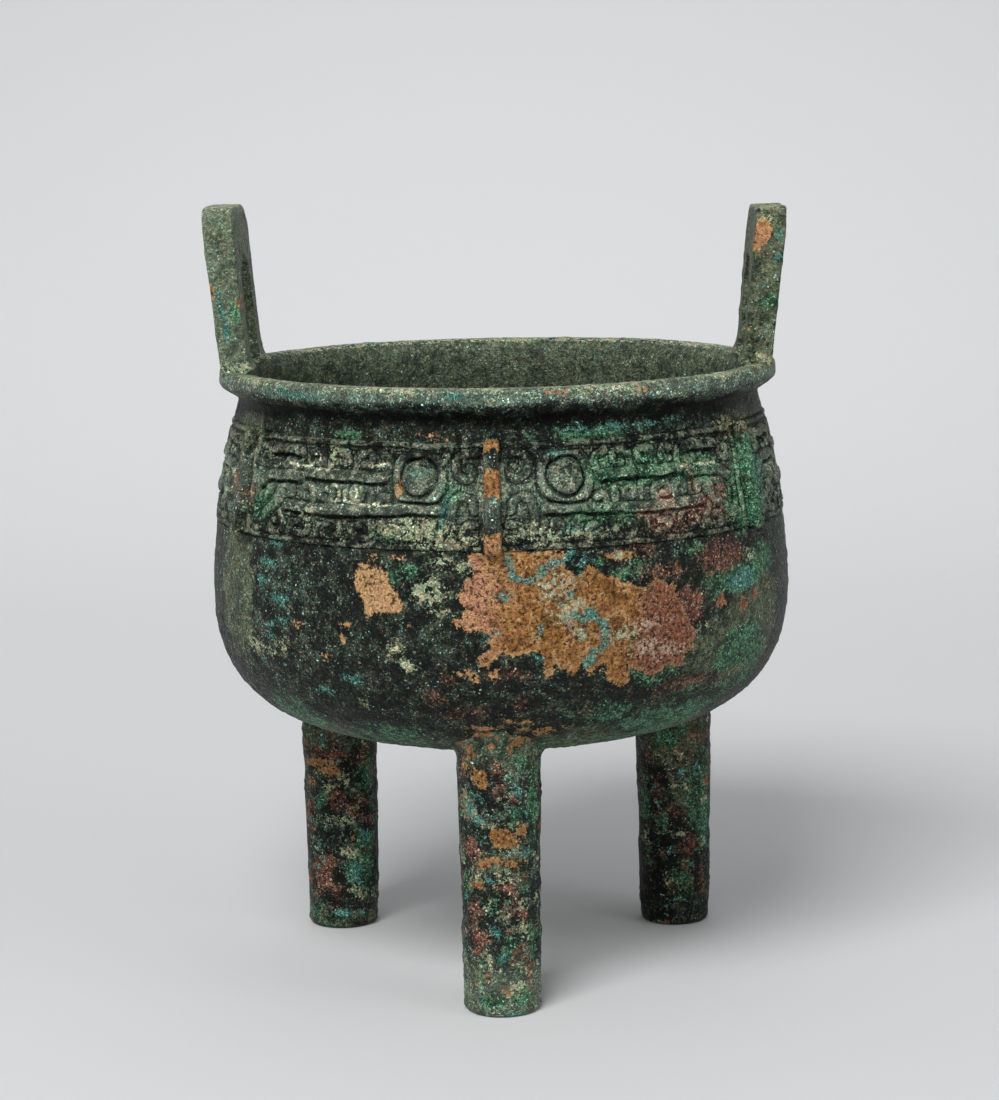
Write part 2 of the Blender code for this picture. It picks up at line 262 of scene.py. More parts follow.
patina = {
    "edge": 12.0,             # mm over which a field goes from 0 to 1, with 0.5 on the patch's own edge
    "farOut": 30.0,           # mm outside a patch, where nothing of it is left
    "backFrom": 66.0,         # degrees from the front at which patches from noise begin to take over
    "backOver": 20.0,
    "backSpread": 13.0,       # mm of field for one unit of noise
    "mainPatch": [(-4.7, 122.7), (-4.2, 120.5), (-3.6, 118.2), (-5.7, 115.2), (-6.6, 112.3), (-5.2, 109.3),
                  (-5.4, 107.6), (-8.3, 105.7), (-5.4, 104.3), (-2.6, 103.9), (-0.9, 101.8), (-1.2, 98.9),
                  (-3.2, 96), (-1.9, 94.5), (-0.4, 95.2), (0.5, 98.3), (4.9, 97.5), (8, 98.5), (8.8, 95),
                  (9.8, 91.4), (11.4, 95.2), (13.2, 93.6), (14.2, 91.4), (15.7, 95.2), (18.2, 91.4),
                  (19.4, 92.6), (20.4, 94.6), (22.2, 90.2), (24.4, 87), (26.1, 88.5), (25.7, 93.5),
                  (27.6, 91.4), (30.3, 90.2), (34, 92.2), (37.4, 90.6), (39.6, 96), (39.9, 99.3),
                  (37.8, 105), (35.6, 112.2), (31.2, 113.9), (28.5, 113.1), (24.4, 113.5), (22.9, 116),
                  (20.1, 116.6), (18.2, 119.7), (15.4, 117.2), (13.5, 119), (12.9, 123.1), (3.3, 123.5)],
    "leftPatch": [(-26.5, 119.2), (-25.1, 120.1), (-22.1, 119.2), (-19.9, 117.6), (-18.9, 114.2),
                  (-17.4, 112.8), (-17.4, 109.6), (-18, 108.5), (-21.4, 107.6), (-24.1, 106.2),
                  (-24.5, 109.2), (-26.2, 112.8)],
    "veins": [([(3, 121.4), (3.6, 116.6), (6.7, 115.6), (9, 118), (11.7, 119.7), (14.2, 122.4)], 0.8),
              ([(17.4, 121.6), (16.8, 119.5), (15.2, 117.6)], 0.7),
              ([(13.1, 105.6), (14.8, 107), (16.7, 105.4), (18.2, 108.6), (19.1, 106.4), (20.5, 105.2),
                (20.8, 101), (20.4, 98.5), (18.5, 97.2), (17.3, 94.8)], 0.95)],
    "tan": [(-6.9, 93.1, 0.9, 0.8), (-4.7, 92.7, 0.7, 0.9), (-3.2, 91.4, 0.5, 1.1), (0.2, 93, 0.7, 1.1),
            (-39.5, 103.7, 0.8, 0.7), (-28.7, 104, 0.6, 0.7), (-29.9, 101, 0.6, 0.8), (-33, 94.9, 0.6, 0.7),
            (-15, 104.9, 0.5, 0.5), (-18, 121.5, 0.7, 0.6), (-23.5, 121.6, 0.7, 0.5),
            (47.8, 106.8, 1.1, 2.0), (54.6, 104.3, 1.5, 2.0), (59.4, 106.4, 1.0, 1.4),
            (63.4, 106.8, 0.5, 0.6), (24, 121.2, 2.8, 1.3), (4.5, 78.9, 2.0, 0.6), (6.5, 76.2, 1.6, 0.6),
            (11, 76.4, 2.2, 0.6), (-2.5, 76.8, 2.2, 0.8), (-4, 74.3, 2, 1.3), (-11.5, 151.3, 1.6, 0.5),
            (-18, 139, 0.9, 2.1), (13.0, 162.2, 2.2, 1.0), (30, 161.8, 1.2, 0.6)],
    "red": [(48.5, 117.5, 6.0, 3.6), (27.5, 122.4, 1.4, 0.6), (-8.8, 90.6, 0.9, 0.9),
            (-11.1, 86.2, 1.0, 0.9), (-5.9, 81.8, 2.2, 0.7), (4.6, 84.3, 0.7, 1.5), (18.8, 81, 0.8, 0.6),
            (2.4, 92.7, 1.4, 0.6), (33.5, 115.6, 3, 1.2), (38.8, 106, 3.2, 5), (44, 85.5, 7, 1.0),
            (33, 129, 2.3, 1.9), (37, 127.4, 2.5, 1.7), (41, 129.5, 1.8, 2.4), (45, 131, 2.8, 2.4),
            (47.8, 128.6, 2, 1.5), (35.5, 134.5, 1.1, 2.4), (42.6, 138, 0.8, 2.4), (49.5, 133.5, 1.8, 1.5),
            (30.5, 131, 1.5, 1), (58, 149.5, 1.8, 1.4), (-63, 137, 2.5, 4), (-57, 134, 1.4, 1.4)],
    "green": [(-18.4, 117, 1.3, 2.1), (-15.6, 118.5, 1.6, 1.4), (41.3, 120.5, 2.1, 1.8),
              (20.2, 119.7, 1.0, 1.6), (24.5, 116.4, 4.2, 1.6), (27, 119, 0.9, 0.9), (26.6, 92.7, 0.8, 2.0),
              (30, 88.5, 3.5, 1.8), (35, 91, 1.8, 1.4), (43, 84, 5, 1.6), (-25, 74.5, 8, 2.4),
              (-50, 76, 8, 5), (22, 80, 6, 2.6), (40, 76, 14, 4), (-34, 70.5, 13, 1.4), (34, 70.5, 15, 1.5),
              (56, 90, 9, 9), (52, 112, 8, 4), (-31, 151, 3.0, 1.1), (56, 131, 5, 8), (62, 140, 6, 9),
              (54.7, 97.7, 1.2, 0.9), (62, 114, 8, 4), (20, 151.6, 9, 1.2), (28, 142, 11, 5),
              (22, 131.5, 8, 2.4), (43, 141, 7, 5), (-20, 127.5, 3, 1.6), (-8, 137, 2, 3),
              (-52, 132, 4, 5)],
    "blue": [(14, 111.8, 0.8, 1.0), (16, 102.2, 0.9, 0.9), (8.1, 103.9, 0.6, 1.2), (0.2, 102.7, 0.5, 0.5),
             (-1.8, 102.2, 0.4, 0.4), (1.8, 112.2, 1.2, 1.1), (8.3, 96.4, 1.1, 1.0), (17.5, 95, 1.6, 1.4),
             (-36, 86.2, 2.0, 0.8), (-28.7, 89.6, 1.8, 0.8), (-45, 109.2, 2.2, 1.2),
             (-50.8, 112.8, 1.6, 1.3), (-48, 101.5, 1.2, 0.9), (-48, 98, 1.2, 0.8), (-44, 103.7, 1.4, 0.9),
             (-47, 122.4, 1.5, 0.7), (-49.5, 117.8, 2.2, 0.9), (55, 111, 4.2, 2.6), (17.2, 120.6, 1.3, 1.3),
             (-6, 161.8, 2.2, 1.0), (-42, 161, 5, 0.8), (66, 135, 3, 8), (26, 152.6, 2.6, 0.8),
             (34, 152.2, 1.6, 0.7), (18, 152.8, 2, 0.5), (40, 152.6, 1.4, 0.5), (13, 146.5, 2, 1.0),
             (-14, 143, 2, 1.2), (-9.5, 133, 1.0, 4), (16, 128, 4, 1.2)],
    "cream": [(11.6, 113.9, 2.9, 2.4), (14.4, 109.4, 2.2, 2.0), (12.4, 106.2, 1.6, 1.2),
              (8.6, 114.7, 1.2, 1.0), (11.5, 116.2, 1.6, 0.9), (14.6, 115.6, 1.3, 1.3),
              (9.9, 112.4, 0.9, 1.0), (12.2, 110.3, 1.6, 0.8), (15.7, 110, 1.0, 0.8),
              (11.6, 107.8, 1.5, 0.7), (13.3, 104.3, 0.9, 0.7), (15.6, 103, 1.2, 1.2),
              (24, 101.5, 3.2, 1.6), (30, 97.5, 4.2, 2.2), (35, 95.5, 3.2, 1.6), (28.5, 103, 3.2, 1.4),
              (24.5, 121, 1.6, 1.0), (-18.7, 98.7, 1.7, 1.4), (-16, 94.6, 1.3, 1.7),
              (-10.3, 108.3, 1.4, 0.9), (-4.9, 119.4, 1.4, 1.3), (-9, 121, 2.4, 1.2), (-12, 113.5, 3.5, 3),
              (-26.8, 83.3, 0.8, 0.7), (-45.8, 96.5, 1.6, 1.0), (-48.8, 94.2, 1.8, 0.9), (-54, 95, 2.5, 2),
              (40.8, 100.2, 0.8, 0.9), (43.1, 100.6, 0.6, 0.8), (57, 117, 1.5, 1.6), (54.7, 98, 0.8, 0.5),
              (-14, 129, 8, 3), (-9, 126, 6, 1.6), (12, 127, 8, 1.6), (8, 129, 2.6, 1.6),
              (-33.5, 145.4, 1.4, 2.6), (-38.5, 131.5, 1.2, 2.2), (57, 150, 3, 1.4)],
    "olive": [(46, 94, 9, 7), (60, 100, 12, 14), (30, 71, 30, 5), (-2, 61, 60, 6), (-62, 108, 8, 18),
              (66, 150, 10, 8), (-66, 152, 9, 8), (-35, 72, 18, 3), (0, 163, 180, 0.9)],
    "paintedLightAndShade": [(0, 155.5, 300, 2.4, -0.9), (0, 162, 300, 2.8, 1.15), (0, 84, 60, 5, -0.2),
                (-64, 105, 12, 20, 0.3), (0, 137, 300, 9, 0.75), (0, 69, 70, 5, 0.15),
                (55, 100, 16, 20, 0.2)],
    "speckled": [(0, 161, 300, 3, 0.45), (0, 137, 300, 9, 0.3), (0, 152, 60, 2, 0.25),
                 (-11, 115, 6, 7, 0.5), (-48, 108, 14, 16, 0.4), (26, 117, 7, 4, 0.4),
                 (-12, 160, 60, 4, 0.4), (30, 152, 12, 1.6, 0.5), (48, 142, 9, 7, 0.3), (22, 97, 4, 5, 0.2),
                 (-30, 95, 20, 12, 0.15), (8, 94, 8, 4, 0.35)],
}


def ovalField(across, up, ovals):
    # About how many mm a point lies inside the nearest of several ovals: one minus its distance from the
    # middle in half sizes, times the smaller half size.
    best = np.full(across.shape, -patina["farOut"])
    for middleAcross, middleUp, halfAcross, halfUp in ovals:
        wide = halfAcross * mmPerDegree
        away = np.sqrt(((across - middleAcross) * mmPerDegree / wide) ** 2 + ((up - middleUp) / halfUp) ** 2)
        best = np.maximum(best, (1.0 - away) * min(wide, halfUp))
    return best


def inMm(line):
    # a line of (degrees, mm) points with both in mm
    return [(angle * mmPerDegree, height) for angle, height in line]


def outlineField(across, up, outline):
    # mm inside a closed outline: the distance to its nearest side, with the sign of the even-odd rule
    corners = np.array(inMm(outline), float)
    x = across * mmPerDegree
    nearest = np.full(across.shape, 1e9)
    inside = np.zeros(across.shape, bool)
    for (ax, ay), (bx, by) in zip(corners, np.roll(corners, -1, axis=0)):
        length = (bx - ax) ** 2 + (by - ay) ** 2
        t = np.clip(((x - ax) * (bx - ax) + (up - ay) * (by - ay)) / length, 0.0, 1.0)
        nearest = np.minimum(nearest, np.hypot(x - ax - t * (bx - ax), up - ay - t * (by - ay)))
        crosses = (ay > up) != (by > up)
        level = (up - ay) / np.where(by == ay, 1e-9, by - ay)
        inside ^= crosses & (x < ax + level * (bx - ax))
    return np.where(inside, nearest, -nearest)


def lineDistance(u, v, line):
    # distance from every point to the nearest of a line's stretches
    best = np.full(u.shape, 1e9)
    for (ax, ay), (bx, by) in zip(line[:-1], line[1:]):
        length = (bx - ax) ** 2 + (by - ay) ** 2
        t = np.clip(((u - ax) * (bx - ax) + (v - ay) * (by - ay)) / length, 0.0, 1.0)
        best = np.minimum(best, np.hypot(u - ax - t * (bx - ax), v - ay - t * (by - ay)))
    return best


def asField(distance):
    return np.clip(0.5 + distance / patina["edge"], 0.0, 1.0)


def withSpots(value, across, up, spots):
    # adds each spot's amount at its middle, falling off softly over its half sizes
    for middle, level, halfAcross, halfUp, extra in spots:
        value = value + extra * np.exp(-((across - middle) / halfAcross) ** 2 - ((up - level) / halfUp) ** 2)
    return value


def bowlTints(points):
    # Two sets of four fields at each point of the bowl: tan, red, green, blue and then cream, warmth,
    # olive, speckle. Warmth goes from tan over pink and ochre to red-brown. The back gets patches from
    # noise in the same sizes. The third result is painted light and shade on the crust, with some of its own
    # tone, 0.5 where it is plain.
    angle = np.degrees(np.arctan2(points[..., 0], -points[..., 1]))
    z = points[..., 2] / mm
    angle = angle + 0.7 * softNoise(points, 5 * mm, 201) + 0.35 * softNoise(points, 2.4 * mm, 203)
    z = z + 0.9 * softNoise(points, 5 * mm, 205) + 0.45 * softNoise(points, 2.4 * mm, 207)
    back = smoothRise((np.abs(angle) - patina["backFrom"]) / patina["backOver"])
    far = patina["farOut"]
    radial = np.hypot(points[..., 0], points[..., 1])
    inside = (radial < bowlRadius(points[..., 2]) - 1.6 * mm) & (points[..., 2] > 60 * mm)

    def withBack(front, seed, level, size=17 * mm):
        spread = (layeredNoise(points, size, 4, seed) - level) * patina["backSpread"]
        return np.maximum(front - far * back, spread - far * (1.0 - back))

    tan = np.maximum(outlineField(angle, z, patina["mainPatch"]), outlineField(angle, z, patina["leftPatch"]))
    tan = np.maximum(tan, ovalField(angle, z, patina["tan"]))
    blue = ovalField(angle, z, patina["blue"])
    for line, half in patina["veins"]:
        away = lineDistance(angle * mmPerDegree, z, inMm(line))
        blue = np.maximum(blue, half + 0.5 * softNoise(points, 1.9 * mm, 251) - away)
    fields = [
        withBack(tan, 11, 0.44),
        withBack(ovalField(angle, z, patina["red"]), 23, 0.42),
        withBack(ovalField(angle, z, patina["green"]), 37, 0.26),
        withBack(blue, 41, 0.58, 11 * mm),
        withBack(ovalField(angle, z, patina["cream"]), 53, 0.52, 9 * mm),
    ]
    dust = (points[..., 2] - vessel["rimZ"]) / mm + 1.5 + 1.6 * softNoise(points, 9 * mm, 241)
    fields[4] = np.maximum(fields[4], np.minimum(dust, 1.0) - 0.55)
    for k in range(len(fields)):
        fields[k] = asField(np.where(inside, fields[k] - far, fields[k]))
    warmth = 0.22 * smoothRise((angle + 14.0) / 3.0) + 0.30 * smoothRise((angle + 5.0) / 9.0)
    warmth = np.where(z > 156.0, 0.22, warmth + 0.46 * smoothRise((angle - 24.0) / 8.0))
    warmth = np.where(np.abs(angle) > patina["backFrom"], 0.5 + 0.5 * softNoise(points, 20 * mm, 5), warmth)
    olive = asField(withBack(ovalField(angle, z, patina["olive"]), 67, 0.05))
    olive = np.where(inside, 0.62, olive)
    speckle = withSpots(0.22 + 0.12 * softNoise(points, 18 * mm, 91), angle, z, patina["speckled"])
    speckle = np.where(inside, 0.15, speckle)
    # painted light and shade: darker under the lip and on the lower belly, brighter on the rim, the band and
    # the whole inside of the bowl; the rim's grey is partly dust and the neck's dark partly patina
    light = withSpots(np.full(z.shape, 1.0), angle, z, patina["paintedLightAndShade"])
    light = np.where(inside, 1.55, light)
    first = np.stack(fields[:4], axis=-1)
    second = np.stack([fields[4], warmth, olive, np.clip(speckle, 0.0, 1.0)], axis=-1)
    return first, second, np.clip(light * 0.5, 0.0, 1.0)


# Materials

def tone(red, green, blue):
    # a colour as seen on a screen, 0 to 255, as the linear values that a shader takes
    def linear(part):
        part /= 255.0
        return part / 12.92 if part <= 0.04045 else ((part + 0.055) / 1.055) ** 2.4
    return (linear(red), linear(green), linear(blue), 1.0)


def put(tree, kind, inputs=None, **settings):
    # adds a node; each input is a value or another node's output
    node = tree.nodes.new(kind)
    for word, value in settings.items():
        setattr(node, word, value)
    for word, value in (inputs or {}).items():
        socket = node.inputs[word]
        if isinstance(value, bpy.types.NodeSocket):
            tree.links.new(value, socket)
        else:
            socket.default_value = value
    return node


def calc(tree, operation, first, second=0.0, third=0.0, clamp=False):
    return put(tree, "ShaderNodeMath", {0: first, 1: second, 2: third}, operation=operation,
               use_clamp=clamp).outputs[0]


def blend(tree, factor, below, above, mode="MIX"):
    node = put(tree, "ShaderNodeMix", {0: factor, 6: below, 7: above}, data_type="RGBA", blend_type=mode)
    return node.outputs[2]


def ramp(tree, value, low, high, start=0.0, end=1.0):
    # smooth step from low to high
    inputs = {"Value": value, "From Min": low, "From Max": high, "To Min": start, "To Max": end}
    return put(tree, "ShaderNodeMapRange", inputs, interpolation_type="SMOOTHSTEP").outputs[0]


def newGroup(name, incoming, outgoing):
    group = bpy.data.node_groups.new(name, "ShaderNodeTree")
    for word, kind in incoming:
        group.interface.new_socket(word, in_out="INPUT", socket_type=kind)
    for word, kind in outgoing:
        group.interface.new_socket(word, in_out="OUTPUT", socket_type=kind)
    return group, group.nodes.new("NodeGroupInput"), group.nodes.new("NodeGroupOutput")


grain = {
    "noises": {"Broad": (75.0, 3.0, 0.6), "Mottle": (270.0, 4.0, 0.68), "Grit": (1050.0, 3.0, 0.65)},
    "stirScale": 1500.0,
    "stirSize": 0.0009,       # metres by which the crystals are pushed out of shape
    "crystalScale": 3100.0,
    "clumpScale": 1150.0,
    "gap": (0.34, 0.66),      # distances from a crystal's middle over which its gap darkens
    "bumpSize": 0.0009,
}


def grainGroup():
    # Noise that every patinated surface shares: three sizes of soft noise, given as scale, detail and
    # roughness, and small crystals, each with three random values of its own and a dark gap round it.
    # Clump is a random value for larger crystals.
    words = ("Broad", "Mottle", "Grit", "PickA", "PickB", "PickC", "Gap", "Clump")
    group, entry, leave = newGroup("bronzeGrain", [("Vector", "NodeSocketVector")],
                                   [(word, "NodeSocketFloat") for word in words])
    spot = entry.outputs["Vector"]
    for word, (scale, detail, rough) in grain["noises"].items():
        inputs = {"Vector": spot, "Scale": scale, "Detail": detail, "Roughness": rough}
        noise = put(group, "ShaderNodeTexNoise", inputs)
        group.links.new(noise.outputs[0], leave.inputs[word])
    stir = put(group, "ShaderNodeTexNoise", {"Vector": spot, "Scale": grain["stirScale"], "Detail": 1.0})
    stir = put(group, "ShaderNodeVectorMath", {0: stir.outputs["Color"], 1: (0.5, 0.5, 0.5)},
               operation="SUBTRACT")
    stir = put(group, "ShaderNodeVectorMath", {0: stir.outputs[0], "Scale": grain["stirSize"]},
               operation="SCALE")
    stirred = put(group, "ShaderNodeVectorMath", {0: stir.outputs[0], 1: spot}, operation="ADD").outputs[0]
    cells = put(group, "ShaderNodeTexVoronoi", {"Vector": stirred, "Scale": grain["crystalScale"]})
    picks = put(group, "ShaderNodeSeparateColor", {0: cells.outputs["Color"]})
    for k, word in enumerate(("PickA", "PickB", "PickC")):
        group.links.new(picks.outputs[k], leave.inputs[word])
    group.links.new(ramp(group, cells.outputs["Distance"], *grain["gap"]), leave.inputs["Gap"])
    clumps = put(group, "ShaderNodeTexVoronoi", {"Vector": stirred, "Scale": grain["clumpScale"]})
    group.links.new(put(group, "ShaderNodeSeparateColor", {0: clumps.outputs["Color"]}).outputs[0],
                    leave.inputs["Clump"])
    return group


def patchGroup():
    # A patch's field, made ragged by noise of three sizes, each with its own weight, and cut at its edge.
    # Rim is the narrow border of the patch.
    incoming = ("Field", "Mottle", "Grit", "Pick", "MottleWeight", "GritWeight", "PickWeight", "Softness")
    group, entry, leave = newGroup("patinaPatch", [(word, "NodeSocketFloat") for word in incoming],
                                   [("Mask", "NodeSocketFloat"), ("Rim", "NodeSocketFloat")])
    ragged = calc(group, "SUBTRACT", entry.outputs["Field"], 0.5)
    for word in ("Mottle", "Grit", "Pick"):
        centred = calc(group, "SUBTRACT", entry.outputs[word], 0.5)
        ragged = calc(group, "MULTIPLY_ADD", centred, entry.outputs[word + "Weight"], ragged)
    share = calc(group, "DIVIDE", ragged, entry.outputs["Softness"])
    group.links.new(calc(group, "ADD", share, 0.5, clamp=True), leave.inputs["Mask"])
    group.links.new(ramp(group, calc(group, "ABSOLUTE", ragged), 0.09, 0.0), leave.inputs["Rim"])
    return group


groups = {"grain": grainGroup(), "patch": patchGroup()}

bronzeTones = {
    "black": tone(26, 29, 26),
    "deepGreen": tone(50, 60, 49),
    "grey": tone(98, 104, 88),
    "olive": tone(104, 112, 84),
    "dustAndLitGrey": tone(86, 98, 86),
    "malachite": tone(42, 102, 74),
    "paleGreen": tone(122, 160, 122),
    "seaGreen": tone(98, 160, 124),
    "teal": tone(48, 84, 84),
    "turquoise": tone(86, 152, 134),
    "paleBlue": tone(156, 198, 186),
    "pale": tone(158, 166, 142),
    "dust": tone(138, 142, 120),
    "sand": tone(186, 172, 136),
    "ochre": tone(154, 106, 54),
    "tan": tone(204, 164, 116),
    "pink": tone(196, 142, 112),
    "brown": tone(104, 72, 42),
    "rust": tone(132, 76, 58),
    "darkRust": tone(70, 44, 38),
    "cream": tone(204, 206, 172),
    "pinkCream": tone(190, 164, 142),
    "pit": tone(58, 44, 34),
}


def patinaMaterial(name, look):
    # Corroded bronze from the bottom up: near-black crust, grey-green, pale and blue crystals, malachite,
    # red-brown, bare pink, tan and ochre, turquoise, and pale mineral crust on top. The attributes hold
    # where each one is, and one attribute holds painted light and shade for the crust. In a look, rough and
    # metal are the surface's own, grey, olive and speckle say how much of those tones shows, gritBump and
    # bump how deep the grain is, calm how alike the crystals are in brightness, and carved is for relief
    # with painted shade in its hollows and dust with painted highlights on its tops.
    material = bpy.data.materials.new(name)
    material.use_nodes = True
    tree = material.node_tree
    shader = tree.nodes["Principled BSDF"]
    tones = bronzeTones
    noises = put(tree, "ShaderNodeGroup", node_tree=groups["grain"])
    tree.links.new(put(tree, "ShaderNodeTexCoord").outputs["Object"], noises.inputs["Vector"])
    broad, mottle, grit, pickA, pickB, pickC, gap, clump = noises.outputs
    first = put(tree, "ShaderNodeAttribute", attribute_name="crustA")
    second = put(tree, "ShaderNodeAttribute", attribute_name="crustB")
    splitA = put(tree, "ShaderNodeSeparateColor", {0: first.outputs["Color"]})
    splitB = put(tree, "ShaderNodeSeparateColor", {0: second.outputs["Color"]})
    field = {"tan": splitA.outputs[0], "red": splitA.outputs[1], "green": splitA.outputs[2],
             "blue": first.outputs["Alpha"], "cream": splitB.outputs[0], "warmth": splitB.outputs[1],
             "olive": splitB.outputs[2], "speckle": second.outputs["Alpha"]}

    def patch(word, mottleWeight, gritWeight, pickWeight, softness):
        node = put(tree, "ShaderNodeGroup", node_tree=groups["patch"])
        for socket, source in (("Field", field[word]), ("Mottle", mottle), ("Grit", grit), ("Pick", pickB)):
            tree.links.new(source, node.inputs[socket])
        for socket, value in (("MottleWeight", mottleWeight), ("GritWeight", gritWeight),
                              ("PickWeight", pickWeight), ("Softness", softness)):
            node.inputs[socket].default_value = value
        return node.outputs["Mask"], node.outputs["Rim"]

    mixed = calc(tree, "ADD", calc(tree, "MULTIPLY", mottle, 0.6), calc(tree, "MULTIPLY", grit, 0.4))
    colour = blend(tree, ramp(tree, mixed, 0.42, 0.60), tones["black"], tones["deepGreen"])
    oliveMask = patch("olive", 0.7, 0.6, 0.2, 0.3)[0]
    oliveTone = blend(tree, ramp(tree, mixed, 0.40, 0.56), tones["deepGreen"], tones["olive"])
    colour = blend(tree, calc(tree, "MULTIPLY", oliveMask, look["olive"]), colour, oliveTone)
    colour = blend(tree, ramp(tree, mixed, 0.50, 0.62, 0.0, look["grey"]), colour, tones["grey"])
    # painted light and shade from the attribute; where it is high the crust turns pale grey, partly dust and
    # partly painted light
    light = put(tree, "ShaderNodeAttribute", attribute_name="paintedLightAndTone").outputs["Fac"]
    colour = blend(tree, ramp(tree, light, 0.60, 0.95, 0.0, 0.62), colour, tones["dustAndLitGrey"])

    density = calc(tree, "MULTIPLY", field["speckle"], ramp(tree, mottle, 0.44, 0.60, 0.05, look["speckle"]))
    paleMask = calc(tree, "GREATER_THAN", pickB, calc(tree, "SUBTRACT", 1.0, density))
    paleTone = blend(tree, calc(tree, "GREATER_THAN", pickC, 0.62), tones["pale"], tones["turquoise"])
    paleTone = blend(tree, calc(tree, "GREATER_THAN", pickC, 0.88), paleTone, tones["paleBlue"])
    paleTone = blend(tree, calc(tree, "LESS_THAN", pickC, 0.10), paleTone, tones["pink"])
    paleMask = calc(tree, "MULTIPLY", paleMask, ramp(tree, pickC, 0.0, 1.0, 0.45, 0.95))
    colour = blend(tree, paleMask, colour, paleTone)

    greenMask = patch("green", 0.42, 0.50, 0.14, 0.06)[0]
    greenTone = blend(tree, ramp(tree, grit, 0.40, 0.66), tones["malachite"], tones["paleGreen"])
    greenTone = blend(tree, ramp(tree, pickC, 0.55, 0.9, 0.0, 0.7), greenTone, tones["deepGreen"])
    greenTone = blend(tree, ramp(tree, mottle, 0.52, 0.42, 0.0, 0.75), greenTone, tones["black"])
    greenTone = blend(tree, calc(tree, "GREATER_THAN", pickA, 0.93), greenTone, tones["seaGreen"])
    colour = blend(tree, calc(tree, "MULTIPLY", greenMask, 0.9), colour, greenTone)

    redMask = patch("red", 0.50, 0.62, 0.24, 0.06)[0]
    redTone = blend(tree, ramp(tree, mixed, 0.38, 0.60), tones["darkRust"], tones["rust"])
    redTone = blend(tree, ramp(tree, pickC, 0.62, 0.95, 0.0, 0.85), redTone, tones["pinkCream"])
    redTone = blend(tree, ramp(tree, clump, 0.30, 0.16, 0.0, 0.7), redTone, tones["deepGreen"])
    colour = blend(tree, calc(tree, "MULTIPLY", redMask, 0.9), colour, redTone)

    tanMask, tanRim = patch("tan", 0.26, 0.30, 0.05, 0.035)
    warmth = calc(tree, "MULTIPLY_ADD", calc(tree, "SUBTRACT", mottle, 0.5), 0.9, field["warmth"])
    warmth = calc(tree, "MULTIPLY_ADD", calc(tree, "SUBTRACT", broad, 0.5), 0.6, warmth)
    bareTone = blend(tree, ramp(tree, warmth, 0.05, 0.22), tones["tan"], tones["pink"])
    bareTone = blend(tree, ramp(tree, warmth, 0.25, 0.5), bareTone, tones["ochre"])
    bareTone = blend(tree, ramp(tree, mixed, 0.50, 0.60, 0.0, 0.75), bareTone, tones["tan"])
    bareTone = blend(tree, ramp(tree, mixed, 0.50, 0.42, 0.0, 0.85), bareTone, tones["brown"])
    bareTone = blend(tree, ramp(tree, warmth, 0.62, 0.92, 0.0, 0.8), bareTone, tones["rust"])
    redder = ramp(tree, warmth, 0.5, 0.75)
    darkest = calc(tree, "MULTIPLY", redder, ramp(tree, grit, 0.50, 0.40))
    bareTone = blend(tree, darkest, bareTone, tones["darkRust"])
    palest = calc(tree, "MULTIPLY", redder, ramp(tree, pickC, 0.74, 0.94))
    bareTone = blend(tree, calc(tree, "MULTIPLY", palest, 0.6), bareTone, tones["pinkCream"])
    bareTone = blend(tree, calc(tree, "MULTIPLY", tanRim, 0.5), bareTone, tones["tan"])
    holes = calc(tree, "MULTIPLY", ramp(tree, grit, 0.46, 0.37), 0.85)
    bareTone = blend(tree, holes, bareTone, tones["pit"])
    colour = blend(tree, tanMask, colour, bareTone)

    blueMask = patch("blue", 0.22, 0.36, 0.10, 0.04)[0]
    blueTone = blend(tree, ramp(tree, pickC, 0.15, 0.45), tones["teal"], tones["turquoise"])
    blueTone = blend(tree, ramp(tree, pickC, 0.78, 0.92), blueTone, tones["paleBlue"])
    colour = blend(tree, calc(tree, "MULTIPLY", blueMask, 0.92), colour, blueTone)

    creamMask = patch("cream", 0.26, 0.42, 0.12, 0.05)[0]
    creamTone = blend(tree, pickC, tones["paleGreen"], tones["cream"])
    creamTone = blend(tree, ramp(tree, mottle, 0.47, 0.58, 0.0, 0.7), creamTone, tones["sand"])
    onBare = calc(tree, "MULTIPLY", tanMask, ramp(tree, warmth, 0.5, 0.8))
    creamTone = blend(tree, onBare, creamTone, tones["pinkCream"])
    creamMask = calc(tree, "MULTIPLY", creamMask, ramp(tree, clump, 0.24, 0.38))
    colour = blend(tree, calc(tree, "MULTIPLY", creamMask, 0.9), colour, creamTone)

    if look["carved"]:       # painted shade in the hollows between the raised lines, dust and painted highlights on the tops, pale mineral on some edges
        carving = put(tree, "ShaderNodeAttribute", attribute_name="carving")
        cut = put(tree, "ShaderNodeSeparateColor", {0: carving.outputs["Color"]})
        uneven = ramp(tree, mixed, 0.46, 0.56)
        dustAndHighlight = calc(tree, "MULTIPLY", ramp(tree, cut.outputs[0], 0.7, 1.0, 0.0, 0.5), uneven)
        colour = blend(tree, dustAndHighlight, colour, tones["dust"])
        paintedHollowShade = ramp(tree, cut.outputs[0], 0.6, 0.0, 0.0, 0.7)
        colour = blend(tree, paintedHollowShade, colour, tones["black"], "MULTIPLY")
        lined = calc(tree, "MULTIPLY", cut.outputs[1], uneven)
        colour = blend(tree, lined, colour, tones["cream"])

